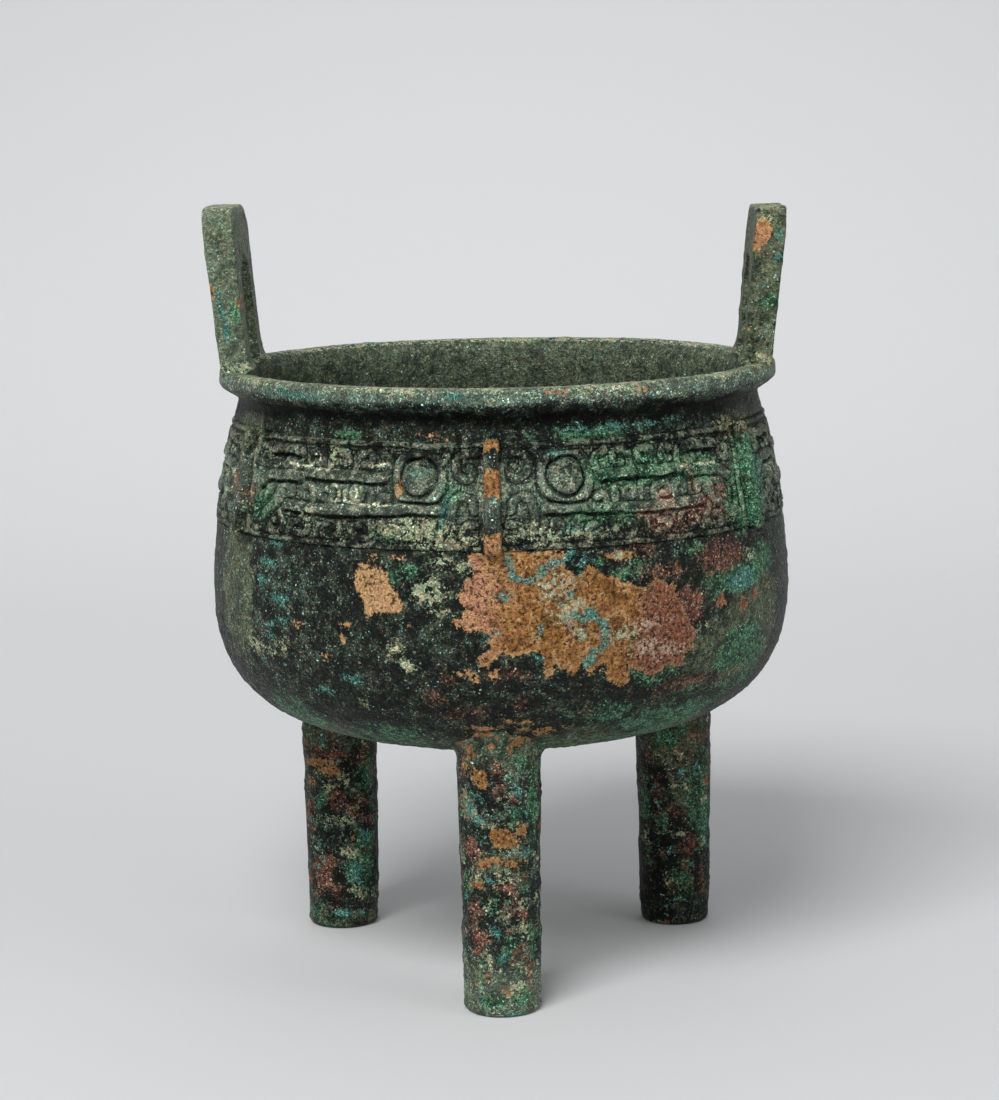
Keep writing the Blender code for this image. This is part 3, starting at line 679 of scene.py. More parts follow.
    # each crystal has its own brightness, less so where the metal is bare
    rough = calc(tree, "MULTIPLY_ADD", calc(tree, "POWER", pickA, 2.0), 1.55, 0.47)
    rough = calc(tree, "MULTIPLY", rough, calc(tree, "MULTIPLY_ADD", gap, -0.25, 1.05))
    rough = calc(tree, "MULTIPLY", rough, calc(tree, "MULTIPLY_ADD", clump, 0.6, 0.70))
    smooth = calc(tree, "MULTIPLY_ADD", pickA, 0.7, 0.66)
    calm = calc(tree, "MULTIPLY_ADD", tanMask, 0.8 - look["calm"], look["calm"])
    shade = calc(tree, "ADD", calc(tree, "MULTIPLY", rough, calc(tree, "SUBTRACT", 1.0, calm)),
                 calc(tree, "MULTIPLY", smooth, calm))
    # painted light and shade brighten or darken the crust, but these patches keep more of their own tone
    light = calc(tree, "MULTIPLY", light, 2.0)
    own = calc(tree, "MAXIMUM", tanMask, blueMask)
    for mask, share in ((creamMask, 0.7), (greenMask, 0.5)):
        own = calc(tree, "MAXIMUM", own, calc(tree, "MULTIPLY", mask, share))
    light = calc(tree, "MULTIPLY_ADD", calc(tree, "SUBTRACT", 1.0, light), own, light)
    shade = calc(tree, "MULTIPLY", shade, light)
    grey = put(tree, "ShaderNodeCombineColor", {0: shade, 1: shade, 2: shade}).outputs[0]
    colour = blend(tree, 1.0, colour, grey, "MULTIPLY")
    tree.links.new(colour, shader.inputs["Base Color"])

    matt = ramp(tree, mixed, 0.35, 0.7, look["rough"] - 0.12, look["rough"] + 0.14)
    matt = calc(tree, "MULTIPLY_ADD", tanMask, 0.08, matt, clamp=True)
    tree.links.new(calc(tree, "MULTIPLY_ADD", pickA, -0.18, matt, clamp=True), shader.inputs["Roughness"])
    shader.inputs["Metallic"].default_value = look["metal"]
    shader.inputs["Specular IOR Level"].default_value = 0.12

    height = calc(tree, "MULTIPLY", mottle, 0.9)
    for source, weight in ((grit, look["gritBump"]), (gap, -0.16), (pickA, 0.10), (tanMask, -0.40),
                           (creamMask, 0.18), (blueMask, 0.14)):
        height = calc(tree, "MULTIPLY_ADD", source, weight, height)
    inputs = {"Height": height, "Strength": look["bump"], "Distance": grain["bumpSize"]}
    bump = put(tree, "ShaderNodeBump", inputs)
    tree.links.new(bump.outputs[0], shader.inputs["Normal"])
    return material


# Bowl: outside, lip and inside as one closed skin

bowlPiece = {
    "columns": 440,
    "insideStep": 2.9 * mm,
    "lipStep": 0.62 * mm,
    "hiddenStep": 3.0 * mm,
    "bellyStep": 0.86 * mm,
    "bottomStep": 2.4 * mm,
    "bottomRadius": 30 * mm,
    "poleRadius": 1.5 * mm,
    "bandSink": 1.1 * mm,     # the bowl's own skin lies this deep under the carved band
    "lipWobble": 0.25 * mm,
    "crust": 0.13 * mm,
    "warts": 0.30 * mm,
}

bowlLook = {"rough": 0.58, "metal": 0.12, "grey": 0.45, "olive": 0.8, "speckle": 0.42, "gritBump": 0.75,
            "bump": 0.9, "calm": 0.1, "carved": False}


def bowlProfile():
    # (radius, z) from the middle of the inside up the wall, over the lip, down the neck and belly to the
    # middle of the underside
    v, p = vessel, bowlPiece
    room = v["crustRoom"]
    quarter = math.pi / 2
    inset = v["wall"]
    inner = lowerCurve(inset, quarter, 0.0, 90)
    inner = inner[inner[:, 0] > p["poleRadius"]]
    z = np.linspace(v["bellyZ"], v["rimZ"] - 3.2 * mm, 24)[1:]
    inner = np.vstack([inner, np.stack([bowlRadius(z, inset), z], axis=1)])
    throat = v["neckRadius"] - inset
    lip = roundedLine([
        (throat, v["rimZ"] - 3.2 * mm), (throat + 2.3 * mm, v["rimZ"] - 0.1 * mm),
        (v["lipRadius"] - 0.2 * mm, v["rimZ"]), (v["lipRadius"], v["rimZ"] - 4.5 * mm),
        (v["neckRadius"] - room, v["neckZ"]),
        (bowlRadius(v["bandHigh"] + 1.2 * mm) - room, v["bandHigh"] + 1.2 * mm)],
        [1.2 * mm, 1.6 * mm, 1.1 * mm, 1.4 * mm])
    inner = evenly(inner, p["insideStep"])
    lip = evenly(lip, p["lipStep"])
    sunk = p["bandSink"]
    hiddenZ = np.array([v["bandHigh"] + 0.2 * mm, v["bandHigh"] - 1.0 * mm, v["bandLow"] + 1.0 * mm,
                        v["bandLow"] - 0.2 * mm])
    hidden = evenly(np.stack([bowlRadius(hiddenZ) - sunk, hiddenZ], axis=1), p["hiddenStep"])
    z = np.linspace(v["bandLow"] - 1.0 * mm, v["bellyZ"], 30)
    belly = np.stack([bowlRadius(z) - room, z], axis=1)
    lower = lowerCurve(0.0, 0.0, quarter, 400) - (room, 0.0)
    steep = lower[lower[:, 0] > p["bottomRadius"]]
    flat = lower[(lower[:, 0] <= p["bottomRadius"]) & (lower[:, 0] > p["poleRadius"])]
    belly = evenly(np.vstack([belly, steep[1:]]), p["bellyStep"])
    flat = evenly(flat, p["bottomStep"])
    return np.vstack([inner[:-1], lip, hidden, belly, flat])


def crustDepth(points, crust, warts, seed):
    # how far the corrosion crust stands out or is eaten away: lumps, smaller lumps and scattered warts
    depth = crust * layeredNoise(points, 6.0 * mm, 3, seed)
    where = smoothRise(softNoise(points, 15 * mm, seed + 9) * 2 + 0.8)
    depth += warts * wartNoise(points, 3.4 * mm, seed + 50) * where
    where = smoothRise(softNoise(points, 8 * mm, seed + 19) * 3)
    depth += 0.8 * warts * wartNoise(points, 1.7 * mm, seed + 70) * where
    return depth - warts * 0.4


def buildBowl():
    p, v = bowlPiece, vessel
    profile = bowlProfile()
    turn = np.linspace(0.0, 2 * math.pi, p["columns"], endpoint=False)
    radius = np.repeat(profile[:, 0][:, None], p["columns"], axis=1)
    z = np.repeat(profile[:, 1][:, None], p["columns"], axis=1)
    grid = np.stack([radius * np.cos(turn), radius * np.sin(turn), z], axis=2)
    normal = rowNormals(grid)
    ends = smoothRise(radius / (12 * mm))[..., None]
    grid = grid + normal * crustDepth(grid, p["crust"], p["warts"], 3)[..., None] * ends
    upper = smoothRise((grid[..., 2] - 156 * mm) / (5 * mm))
    grid[..., 2] += upper * p["lipWobble"] * (softNoise(grid * (1, 1, 0), 24 * mm, 77) - 0.6)
    caps = (np.array([0.0, 0.0, v["bellyZ"] - v["bellyDepth"] + v["wall"]]),
            np.array([0.0, 0.0, v["bellyZ"] - v["bellyDepth"]]))
    points = skinPoints(grid, caps)
    first, second, light = bowlTints(points)
    tints = {"crustA": first, "crustB": second, "paintedLightAndTone": light}
    return place("bowl", grid, caps, tints, patinaMaterial("bowlPatina", bowlLook))


# Carved band: three slabs, one for each mask

bandPiece = {
    "columns": 600,
    "rows": 106,
    "barWidth": 2.5 * mm,
    "fineWidth": 1.65 * mm,
    "barRise": 1.15 * mm,
    "fineRise": 0.72 * mm,
    "groundRise": 0.42 * mm,
    "groundCell": 3.3 * mm,
    "softness": 0.30 * mm,
    "borderRise": 0.60 * mm,
    "borderWidth": 1.3 * mm,
    "grooveDepth": 0.42 * mm,
    "groundDepth": 0.32 * mm,  # the ground of the relief lies this far below the wall
    "backDepth": 2.2 * mm,
    "millimetresPerDegree": 1.302,
    "lumps": 0.26 * mm,
    "rot": 0.55 * mm,          # roughness where the band is badly corroded
    "below": 1.1 * mm,         # each slab reaches this far past the band at its foot and at its top
    "above": 1.0 * mm,
}

# Lines of half a mask, in mm: distance from the nose flange along the rim, height over the lower border
maskBars = {
    "horn": [(28.2, 16.9), (34, 17.1), (44, 17.2), (51.6, 17.2)],
    "brow": [(54.2, 15.7), (60, 15.9), (66, 15.5), (69.6, 13.4), (70.4, 9.2)],
    "jaw": [(13.4, 9.4), (20, 9.6), (27.6, 9.3), (36, 8.5), (50, 8.4), (58, 8.6)],
    "cheek": [(56.6, 11.6), (57.4, 13.7), (60.2, 14.2), (64.6, 13.6), (66.3, 11.2)],
    "slant": [(61.4, 10.0), (65.6, 6.2), (69.8, 4.6)],
    "roof": [(54.8, 22.2), (60, 22.4), (65.4, 22.0)],
}
maskFineBars = {
    "noseCurl": [(3.4, 23.2), (7.4, 23.4), (9.4, 21.4), (8.9, 18.2), (6.2, 16.6), (4.4, 18.2), (5.6, 20.0)],
    "nostril": [(4.6, 9.0), (5.0, 12.0), (7.6, 13.2), (10.0, 11.6), (10.4, 7.4), (10.2, 3.6)],
    "lipCurl": [(4.2, 5.6), (7.0, 5.4), (7.6, 2.4), (4.4, 2.0)],
    "browTie": [(10.8, 23.6), (12.6, 21.8), (12.4, 19.6)],
    "hornRoot": [(28.4, 17.0), (26.8, 18.6), (27.0, 21.6), (29.6, 23.0)],
    "quillOne": [(36.6, 18.6), (36.6, 22.4), (32.0, 22.8), (31.6, 20.0), (34.2, 19.8)],
    "quillTwo": [(44.0, 18.6), (44.0, 22.4), (39.4, 22.8), (39.0, 20.0), (41.6, 19.8)],
    "quillThree": [(51.4, 18.8), (51.4, 22.4), (46.8, 22.8), (46.4, 20.2), (49.0, 19.8)],
    "hangOne": [(57.2, 22.0), (57.6, 18.6), (55.2, 18.0), (54.8, 20.2)],
    "hangTwo": [(62.4, 22.0), (62.8, 18.6), (60.2, 18.0), (59.8, 20.2)],
    "earCurl": [(71.6, 22.6), (67.6, 22.8), (67.2, 18.6), (70.4, 18.0), (71.2, 20.2), (69.4, 20.6)],
    "backLine": [(74.6, 24.0), (74.8, 14.0), (74.2, 7.4), (74.8, 1.6)],
    "midOne": [(43.4, 10.6), (42.8, 13.4), (46.6, 14.2), (47.2, 11.8), (45.4, 11.4)],
    "midTwo": [(49.0, 10.6), (48.6, 13.6), (52.4, 14.0), (52.6, 11.4), (50.8, 11.2)],
    "midThree": [(31.6, 11.2), (31.4, 14.2), (36.6, 14.4), (36.8, 11.6), (34.2, 11.4), (34.2, 13.0)],
    "midFour": [(38.8, 11.2), (38.8, 14.6), (41.2, 14.6)],
    "eyeCorner": [(26.2, 12.2), (28.8, 12.8), (29.0, 10.9)],
    "clawOne": [(24.0, 7.4), (20.6, 6.6), (20.4, 2.6), (25.2, 2.0), (27.6, 4.6), (24.6, 5.4), (23.6, 4.2)],
    "clawTwo": [(33.0, 7.0), (30.4, 5.2), (31.0, 2.0), (35.4, 1.9), (36.8, 4.6), (34.4, 5.0)],
    "clawThree": [(43.0, 6.8), (39.8, 5.6), (39.8, 2.2), (44.6, 1.8), (46.8, 4.4), (43.8, 5.0)],
    "clawFour": [(53.0, 6.8), (49.6, 5.4), (50.2, 2.0), (54.8, 2.0), (56.4, 4.6), (53.8, 4.8)],
    "clawFive": [(60.6, 6.8), (58.6, 4.2), (60.2, 1.8), (64.2, 2.0), (64.6, 4.2), (62.2, 4.6)],
    "tailCurl": [(71.6, 7.0), (68.4, 2.0), (71.8, 1.8), (72.2, 4.2)],
    "teeth": [(12.4, 6.4), (12.6, 2.2), (16.6, 2.0), (16.8, 6.2), (14.8, 6.4), (14.8, 4.0)],
}
maskEye = {"middle": (18.6, 17.2), "bossRadius": 4.4, "bossRise": 1.25 * mm, "ringHalf": (6.3, 5.2),
           "ringCorner": 3.6, "ringWidth": 1.5, "ringRise": 0.85 * mm}
maskBoss = {"middle": (61.2, 11.0), "radius": 2.3, "rise": 1.3 * mm}


def maskRelief(u, v):
    # Height of the cast relief over its ground, how far each point is from the nearest line in mm, and
    # the grooves cut under the main lines. u is mm from the nose flange and v is mm above the lower
    # border. A line is flat on top with short soft sides.
    p = bandPiece
    soft = p["softness"] / mm
    height = np.zeros(u.shape)
    clear = np.full(u.shape, 1e9)

    def addLine(distance, width, rise):
        nonlocal height, clear
        edge = smoothRise((width / mm / 2 + soft - distance) / (2 * soft))
        height = np.maximum(height, rise * edge)
        clear = np.minimum(clear, distance - width / mm / 2)

    for line in maskBars.values():
        smooth = evenly(roundedLine(line, [1.6] * len(line)), 0.9)
        addLine(lineDistance(u, v, smooth), p["barWidth"], p["barRise"])
    for line in maskFineBars.values():
        smooth = evenly(roundedLine(line, [0.9] * len(line)), 0.8)
        addLine(lineDistance(u, v, smooth), p["fineWidth"], p["fineRise"])
    eye = maskEye
    du, dv = np.abs(u - eye["middle"][0]), np.abs(v - eye["middle"][1])
    corner = eye["ringCorner"]
    qu, qv = du - eye["ringHalf"][0] + corner, dv - eye["ringHalf"][1] + corner
    ring = np.hypot(np.maximum(qu, 0), np.maximum(qv, 0)) + np.minimum(np.maximum(qu, qv), 0) - corner
    addLine(np.abs(ring), eye["ringWidth"] * mm, eye["ringRise"])
    away = np.hypot(du, dv)
    surround = smoothRise((away - eye["bossRadius"] - 0.25) / 0.4) * smoothRise(0.5 - ring)
    height = np.maximum(height, eye["ringRise"] * 0.8 * surround)
    height = np.maximum(height, eye["bossRise"] * np.clip(1 - (away / eye["bossRadius"]) ** 2, 0, 1) ** 0.4)
    away = np.hypot(u - maskBoss["middle"][0], v - maskBoss["middle"][1]) / maskBoss["radius"]
    height = np.maximum(height, maskBoss["rise"] * np.sqrt(np.clip(1 - away ** 2, 0, 1)))
    clear = np.minimum(clear, (away - 1) * maskBoss["radius"])
    top = (vessel["bandHigh"] - vessel["bandLow"]) / mm
    addLine(np.abs(v), p["borderWidth"], p["borderRise"])
    addLine(np.abs(v - top), p["borderWidth"], p["borderRise"])
    cut = smoothRise((0.62 - np.abs(np.hypot(du, dv) - eye["bossRadius"] - 0.3)) / 0.35)
    below = smoothRise((0.62 - np.abs(ring - 1.1)) / 0.35) * smoothRise((eye["middle"][1] - 1.0 - v) / 2.0)
    cut = np.maximum(cut, below)
    for word in ("horn", "jaw", "brow", "roof"):
        cut = np.maximum(cut, smoothRise((0.65 - lineDistance(u, v + 1.6, maskBars[word])) / 0.35))
    return height, clear, cut


def thunderGround(u, v):
    # small square spirals: bands of the larger of |a| and |b|, shifted by the angle, wind once in each cell
    cell = bandPiece["groundCell"] / mm
    a = (u / cell) % 1.0 - 0.5
    b = (v / cell) % 1.0 - 0.5
    wind = np.maximum(np.abs(a), np.abs(b)) * 4.4 + np.arctan2(b, a) / (2 * math.pi)
    wave = np.abs((wind % 1.0) - 0.5) * 2.0
    return smoothRise((wave - 0.30) / 0.35)


# Pale mineral along some raised edges at the front, as (degrees, mm)
paleLines = [
    [(-35.7, 149.1), (-36.8, 147.6), (-37.1, 142.4), (-29.6, 142.3), (-29.6, 144.5)],
    [(-37.2, 148.6), (-38.3, 143.9), (-39.1, 142.9), (-45.0, 142.8)],
    [(-34.9, 137.3), (-33.4, 138.6), (-31.8, 138.4), (-31.2, 136.4), (-32.2, 134.4)],
    [(-29.7, 137.2), (-29.9, 134.6), (-24.3, 134.2)],
    [(-27.3, 137.7), (-27.3, 135.4)],
    [(-23.5, 134.5), (-20.2, 134.1), (-15.2, 135.0)],
    [(-24.4, 143.6), (-20.8, 144.6)],
    [(-40.5, 131.7), (-40.7, 130.3)],
    [(39.5, 141.6), (50.0, 141.0)],
]


def bandCorrosion(angle, z, points):
    # 0 where the casting is crisp, 1 where it is eaten: the front right, and here and there all round
    places = [(36, 130, 13, 6), (47, 134, 7, 8), (-14, 128, 8, 4), (12, 127, 8, 2.5)]
    rotted = asField(ovalField(angle, z, places))
    rotted = smoothRise((rotted - 0.35) / 0.3)
    scattered = smoothRise((layeredNoise(points, 16 * mm, 3, 301) - 0.12) * 3.0)
    return np.clip(np.maximum(rotted, scattered * 0.75), 0.0, 1.0)


def buildBandSector(number, middle, material):
    p, v = bandPiece, vessel
    half = 60.0
    tall = v["bandHigh"] - v["bandLow"]
    share = np.linspace(-1.0, 1.0, p["columns"])
    up = np.linspace(-p["below"], tall + p["above"], p["rows"])[::-1]
    shareGrid, upGrid = np.meshgrid(share, up)
    angle = math.radians(middle - 90.0) + np.radians(shareGrid * half)
    z = v["bandLow"] + upGrid
    wall = bowlRadius(z) - v["crustRoom"]
    base = np.stack([wall * np.cos(angle), wall * np.sin(angle), z], axis=2)
    u = np.abs(shareGrid) * half * p["millimetresPerDegree"]
    u = u + 0.45 * softNoise(base, 5 * mm, 221) + 0.25 * softNoise(base, 2 * mm, 223)
    level = upGrid / mm + 0.40 * softNoise(base, 5 * mm, 225) + 0.25 * softNoise(base, 2 * mm, 227)
    high, clear, cut = maskRelief(u, level)
    frontAngle = np.degrees(np.arctan2(base[..., 0], -base[..., 1]))
    rot = bandCorrosion(frontAngle, z / mm, base)
    ground = thunderGround(u, level) * smoothRise((clear - 0.45) / 0.35) * p["groundRise"]
    crisp = 1.0 - 0.55 * rot
    high = high * (1.0 - cut)
    kept = 1.0 - 0.6 * rot
    rise = high * crisp + ground * (1.0 - cut) * (1.0 - rot) - p["groundDepth"]
    rise = rise - p["grooveDepth"] * cut * kept
    rise = rise + p["lumps"] * layeredNoise(base, 2.2 * mm, 3, 17)
    rise = rise + p["rot"] * rot * layeredNoise(base, 2.6 * mm, 3, 29)
    rise = rise + 0.22 * mm * wartNoise(base, 2.0 * mm, 61) * smoothRise(softNoise(base, 12 * mm, 9) * 2)
    edge = np.minimum(upGrid + p["below"], tall + p["above"] - upGrid)
    dive = smoothRise(1.0 - edge / (0.75 * mm))
    rise = rise - 1.5 * mm * dive
    radius = wall + rise
    outer = np.stack([radius * np.cos(angle), radius * np.sin(angle), z], axis=2)
    backRows = 4
    backZ = np.linspace(v["bandLow"] - p["below"], v["bandHigh"] + p["above"], backRows)
    backZ = backZ[:, None] + 0 * angle[:1]
    backRadius = bowlRadius(backZ) - p["backDepth"]
    backAngle = np.repeat(angle[:1], backRows, axis=0)
    back = np.stack([backRadius * np.cos(backAngle), backRadius * np.sin(backAngle), backZ], axis=2)
    loop = np.vstack([outer, back]).transpose(1, 0, 2)
    first, second, light = bowlTints(loop)
    lined = np.zeros(u.shape)
    ragged = 0.30 + 0.16 * softNoise(base, 1.6 * mm, 231)
    if number == 1:
        across = frontAngle * mmPerDegree + 0.3 * softNoise(base, 4 * mm, 233)
        height = z / mm + 0.3 * softNoise(base, 4 * mm, 235)
        for line in paleLines:
            away = lineDistance(across, height, inMm(line))
            lined = np.maximum(lined, smoothRise((ragged + 0.14 - away) / 0.28))
    # tops marks the raised relief: the material paints highlights on it and paints shade in the grooves and
    # in the hollows next to the lines
    tops = smoothRise((high + ground) / (0.30 * mm)) + smoothRise((clear - 0.9) / 0.5)
    tops = tops * (1.0 - cut * kept)
    carving = np.stack([np.clip(tops, 0, 1), lined, rot, np.ones(lined.shape)], axis=-1)
    behind = np.tile([1.0, 0.0, 0.0, 1.0], (backRows, p["columns"], 1))
    carving = np.vstack([carving, behind]).transpose(1, 0, 2)
    ends = [loop[0].mean(axis=0), loop[-1].mean(axis=0)]

    def withEnds(values):
        flat = values.reshape((-1,) + values.shape[2:])
        return np.concatenate([flat, values[:1].mean(axis=1), values[-1:].mean(axis=1)])

    tints = {"crustA": withEnds(first), "crustB": withEnds(second), "paintedLightAndTone": withEnds(light),
             "carving": withEnds(carving)}
    return place(f"mask_band_{number}", loop, ends, tints, material)


bandLook = {"rough": 0.60, "metal": 0.12, "grey": 0.55, "olive": 0.8, "speckle": 0.6, "gritBump": 0.6,
            "bump": 0.8, "calm": 0.1, "carved": True}


def buildBand():
    material = patinaMaterial("bandPatina", bandLook)
    return [buildBandSector(i + 1, i * 120.0, material) for i in range(3)]


# Flanges: six upright ridges across the band

flangePiece = {
    "rows": 100,
    "columns": 60,
    "width": 4.3 * mm,
    "rise": 2.75 * mm,
    "sink": 1.6 * mm,
    "low": 122.9 * mm,
    "high": 150.6 * mm,
    "endRound": 1.1 * mm,
    "corner": 5.0,            # superellipse exponent of the section
    "lumps": 0.16 * mm,
}

flangeLook = {"rough": 0.6, "metal": 0.12, "grey": 0.6, "olive": 0.8, "speckle": 0.55, "gritBump": 0.7,
              "bump": 0.85, "calm": 0.1, "carved": False}


def buildFlange(number, middle, material):
    # a superellipse section carried up the wall, drawn in at both ends
    p = flangePiece
    z = np.linspace(p["high"], p["low"], p["rows"])[:, None]
    turn = np.linspace(0.0, 2 * math.pi, p["columns"], endpoint=False)[None, :]
    power = 2.0 / p["corner"]
    sideways = np.sign(np.cos(turn)) * np.abs(np.cos(turn)) ** power
    outward = np.sign(np.sin(turn)) * np.abs(np.sin(turn)) ** power
    end = np.clip(np.minimum(p["high"] - z, z - p["low"]) / p["endRound"], 0.0, 1.0)
    draw = 0.62 + 0.38 * np.sqrt(1.0 - (1.0 - end) ** 2)
    taper = 1.0 - 0.14 * (z - p["low"]) / (p["high"] - p["low"])
    across = sideways * p["width"] / 2 * draw * taper
    depth = (outward + 1.0) / 2 * (p["rise"] * draw + p["sink"]) - p["sink"]
    radius = bowlRadius(z) - vessel["crustRoom"] + depth
    angle = math.radians(middle - 90.0)
    out = np.array([math.cos(angle), math.sin(angle)])
    side = np.array([-math.sin(angle), math.cos(angle)])
    flat = radius[..., None] * out + across[..., None] * side
    grid = np.concatenate([flat, np.broadcast_to(z[..., None], flat.shape[:2] + (1,))], axis=2)
    normal = rowNormals(grid)
    grid = grid + normal * (p["lumps"] * (layeredNoise(grid, 2.6 * mm, 3, 90) - 0.5))[..., None]
    caps = (grid[0].mean(axis=0), grid[-1].mean(axis=0))
    points = skinPoints(grid, caps)
    first, second, light = bowlTints(points)
    height = points[:, 2] / mm
    if number == 1:          # the front nose is bare in three places
        ovals = [(0, 150, 9, 1.3), (0, 140.2, 9, 3.0), (0, 125.5, 9, 2.6)]
        bare = ovalField(np.zeros(len(points)), height, ovals)
        first[:, 0] = asField(bare * 1.2 + 1.1 * softNoise(points, 1.8 * mm, 97) + 0.2)
        second[:, 1] = 0.56
        first[:, 1:] *= 0.6
        second[:, 0] *= 0.5
    # the flanges keep the painted light but none of the painted shade
    tints = {"crustA": first, "crustB": second, "paintedLightAndTone": np.maximum(light, 0.5)}
    return place(f"flange_{number}", grid, caps, tints, material)


def buildFlanges():
    material = patinaMaterial("flangePatina", flangeLook)
    return [buildFlange(i + 1, i * 60.0, material) for i in range(6)]


# Legs: solid cylinders that run into the bowl with a small fillet

legPiece = {
    "columns": 140,
    "rows": 140,
    "topRadius": 11.05 * mm,
    "footRadius": 10.0 * mm,
    "footRound": 1.7 * mm,
    "fillet": 3.2 * mm,
    "filletRows": 12,
    "crust": 0.20 * mm,
    "warts": 0.32 * mm,
    "flakes": 0.30 * mm,
}

# Patches on each leg: degrees round the leg from its front, height in mm, and half sizes in degrees and
# mm. Light spots add painted light and shade, such as the shade under the bowl at the tops of the legs.
legPatches = [
    {"tan": [(-28, 64, 11, 2.0), (-54, 56, 12, 3.6), (4, 47.8, 21, 2.2), (-16, 41.8, 20, 1.2),
             (18, 41.2, 16, 1.0), (-52, 73.5, 10, 2.2), (24, 73, 14, 1.2), (-18, 75.5, 12, 0.9),
             (30, 50, 6, 1.2), (-36, 36, 8, 1.2), (8, 7, 6, 1.0), (-34, 70, 9, 1.6), (-10, 72, 8, 1.3),
             (14, 70, 5, 0.9), (38, 74, 10, 1.0), (-50, 66, 6, 1.0)],
     "red": [(-44, 44, 10, 2.6), (-44, 27, 9, 3.6), (-38, 20, 12, 3.2), (6, 35.4, 9, 1.6), (-4, 61, 6, 1.0),
             (22, 30, 6, 2), (16, 16, 6, 1.6), (-26, 10, 6, 1.4), (44, 12, 6, 2), (-56, 66, 8, 2)],
     "green": [(56, 56, 14, 9), (20, 54, 9, 2.4), (-8, 31, 14, 3.0), (36, 36, 10, 3), (8, 18, 14, 3),
               (-56, 34, 8, 4), (52, 20, 12, 6), (-16, 4.5, 14, 2.4), (28, 5, 12, 2.4), (30, 68, 10, 2.4)],
     "blue": [(22, 61, 5, 2.0), (-16, 37, 7, 1.0), (-12, 22, 6, 1.4), (2, 16.5, 8, 1.0), (34, 44, 6, 1.4),
              (-30, 5, 5, 1.0)],
     "cream": [(-40, 38, 9, 1.0), (10, 38, 10, 1.0), (28, 30, 8, 1.8), (34, 22, 9, 2.4), (4, 27, 7, 1.2),
               (-4, 13.4, 20, 0.7), (-20, 30, 6, 1.2), (20, 8, 8, 1.0), (-10, 50.8, 12, 0.6),
               (-26, 16, 5, 1.0)],
     "olive": [(0, 72, 90, 6), (0, 41.5, 44, 3.0), (0, 5, 180, 8)],
     "light": [(-6, 56.5, 28, 4.5, -0.6), (0, 31, 22, 4, -0.3), (0, 6, 180, 9, 0.5), (0, 73, 90, 5, 0.15)]},
    {"tan": [(-66, 56, 8, 1.6), (60, 40, 6, 1.4)],
     "red": [(10, 50, 9, 1.2), (20, 24, 12, 3.4), (-22, 41, 8, 1.8), (50, 12, 8, 2.4), (-50, 48, 10, 2),
             (0, 33, 8, 1.4)],
     "green": [(48, 36, 24, 14), (-10, 54, 20, 4), (10, 14, 12, 3), (-60, 34, 12, 5), (-20, 30, 8, 3)],
     "blue": [(34, 46, 6, 1.4), (-8, 22, 6, 1.2), (58, 24, 6, 2)],
     "cream": [(50, 24, 6, 1.2), (-54, 26, 4, 1.6), (24, 40, 6, 0.8), (-8, 47, 5, 0.7)],
     "olive": [(0, 54, 70, 9), (20, 38, 30, 6)],
     "light": [(-46, 12, 50, 16, -0.45), (44, 36, 34, 24, 0.15), (0, 60, 180, 9, -0.1)]},
    {"tan": [(-34, 48.5, 26, 1.6), (-8, 45.5, 16, 1.0), (15, 27, 5, 1.4), (-50, 43, 8, 1.0)],
     "red": [(-20, 52, 24, 2.4), (-60, 33, 12, 4), (-30, 17, 18, 5.5), (2, 38, 10, 2), (-8, 11, 10, 2),
             (40, 50, 10, 2)],
     "green": [(36, 20, 26, 9), (50, 46, 16, 6), (-20, 38, 12, 3), (-40, 4, 20, 3)],
     "blue": [(24, 16, 10, 3), (46, 28, 8, 3), (0, 5, 8, 1.4)],
     "cream": [(-46, 24, 6, 1.2), (-10, 41, 6, 0.9), (30, 35, 5, 0.8)],
     "olive": [(-20, 56, 60, 4), (0, 2, 180, 3)],
     "light": [(0, 5, 50, 5, -0.35), (10, 58, 180, 7, -0.25), (20, 36, 40, 6, -0.2)]},
]

# Noise over these levels makes further patches on the legs
legLevels = {"tan": 0.62, "red": 0.40, "green": 0.38, "blue": 0.50, "cream": 0.44}

legLook = {"rough": 0.62, "metal": 0.10, "grey": 0.55, "olive": 0.8, "speckle": 0.8, "gritBump": 0.9,
           "bump": 1.0, "calm": 0.1, "carved": False}


def legTints(points, around, number):
    # fields for a leg from its own list of patches, with smaller ones from noise between them
    plan = legPatches[number]
    front = number == 0
    around = around + 9.0 * softNoise(points, 5 * mm, 211) + 6.0 * softNoise(points, 2.2 * mm, 215)
    z = points[..., 2] / mm + 1.4 * softNoise(points, 5 * mm, 213) + 0.9 * softNoise(points, 2.2 * mm, 217)
    width = legPiece["topRadius"] / mm * math.pi / 180.0 / mmPerDegree

    def nearest(word, turned=0.0):
        ovals = [(a * width, b, c * width, d) for a, b, c, d in plan[word]]
        return ovalField((around - turned) * width, z, ovals)

    fields = []
    for k, (word, level) in enumerate(legLevels.items()):
        loose = (layeredNoise(points, 4.5 * mm, 4, 400 + 13 * k + number) - level) * 7.0
        fields.append(asField(np.maximum(np.maximum(nearest(word), nearest(word, 360.0)), loose)))
    olive = asField(nearest("olive"))
    warmth = (0.55 if front else 0.78) + 0.3 * softNoise(points, 14 * mm, 71)
    speckle = (0.55 if front else 0.3) + 0.25 * softNoise(points, 9 * mm, 73)
    # painted light and shade: the front leg and the left back leg brighter, the right back leg darker in the
    # bowl's shadow, plus the light spots
    light = withSpots(np.full(z.shape, (1.3, 0.85, 1.15)[number]), around, z, plan["light"])
    first = np.stack(fields[:4], axis=-1)
    return first, np.stack([fields[4], warmth, olive, speckle], axis=-1), light * 0.5


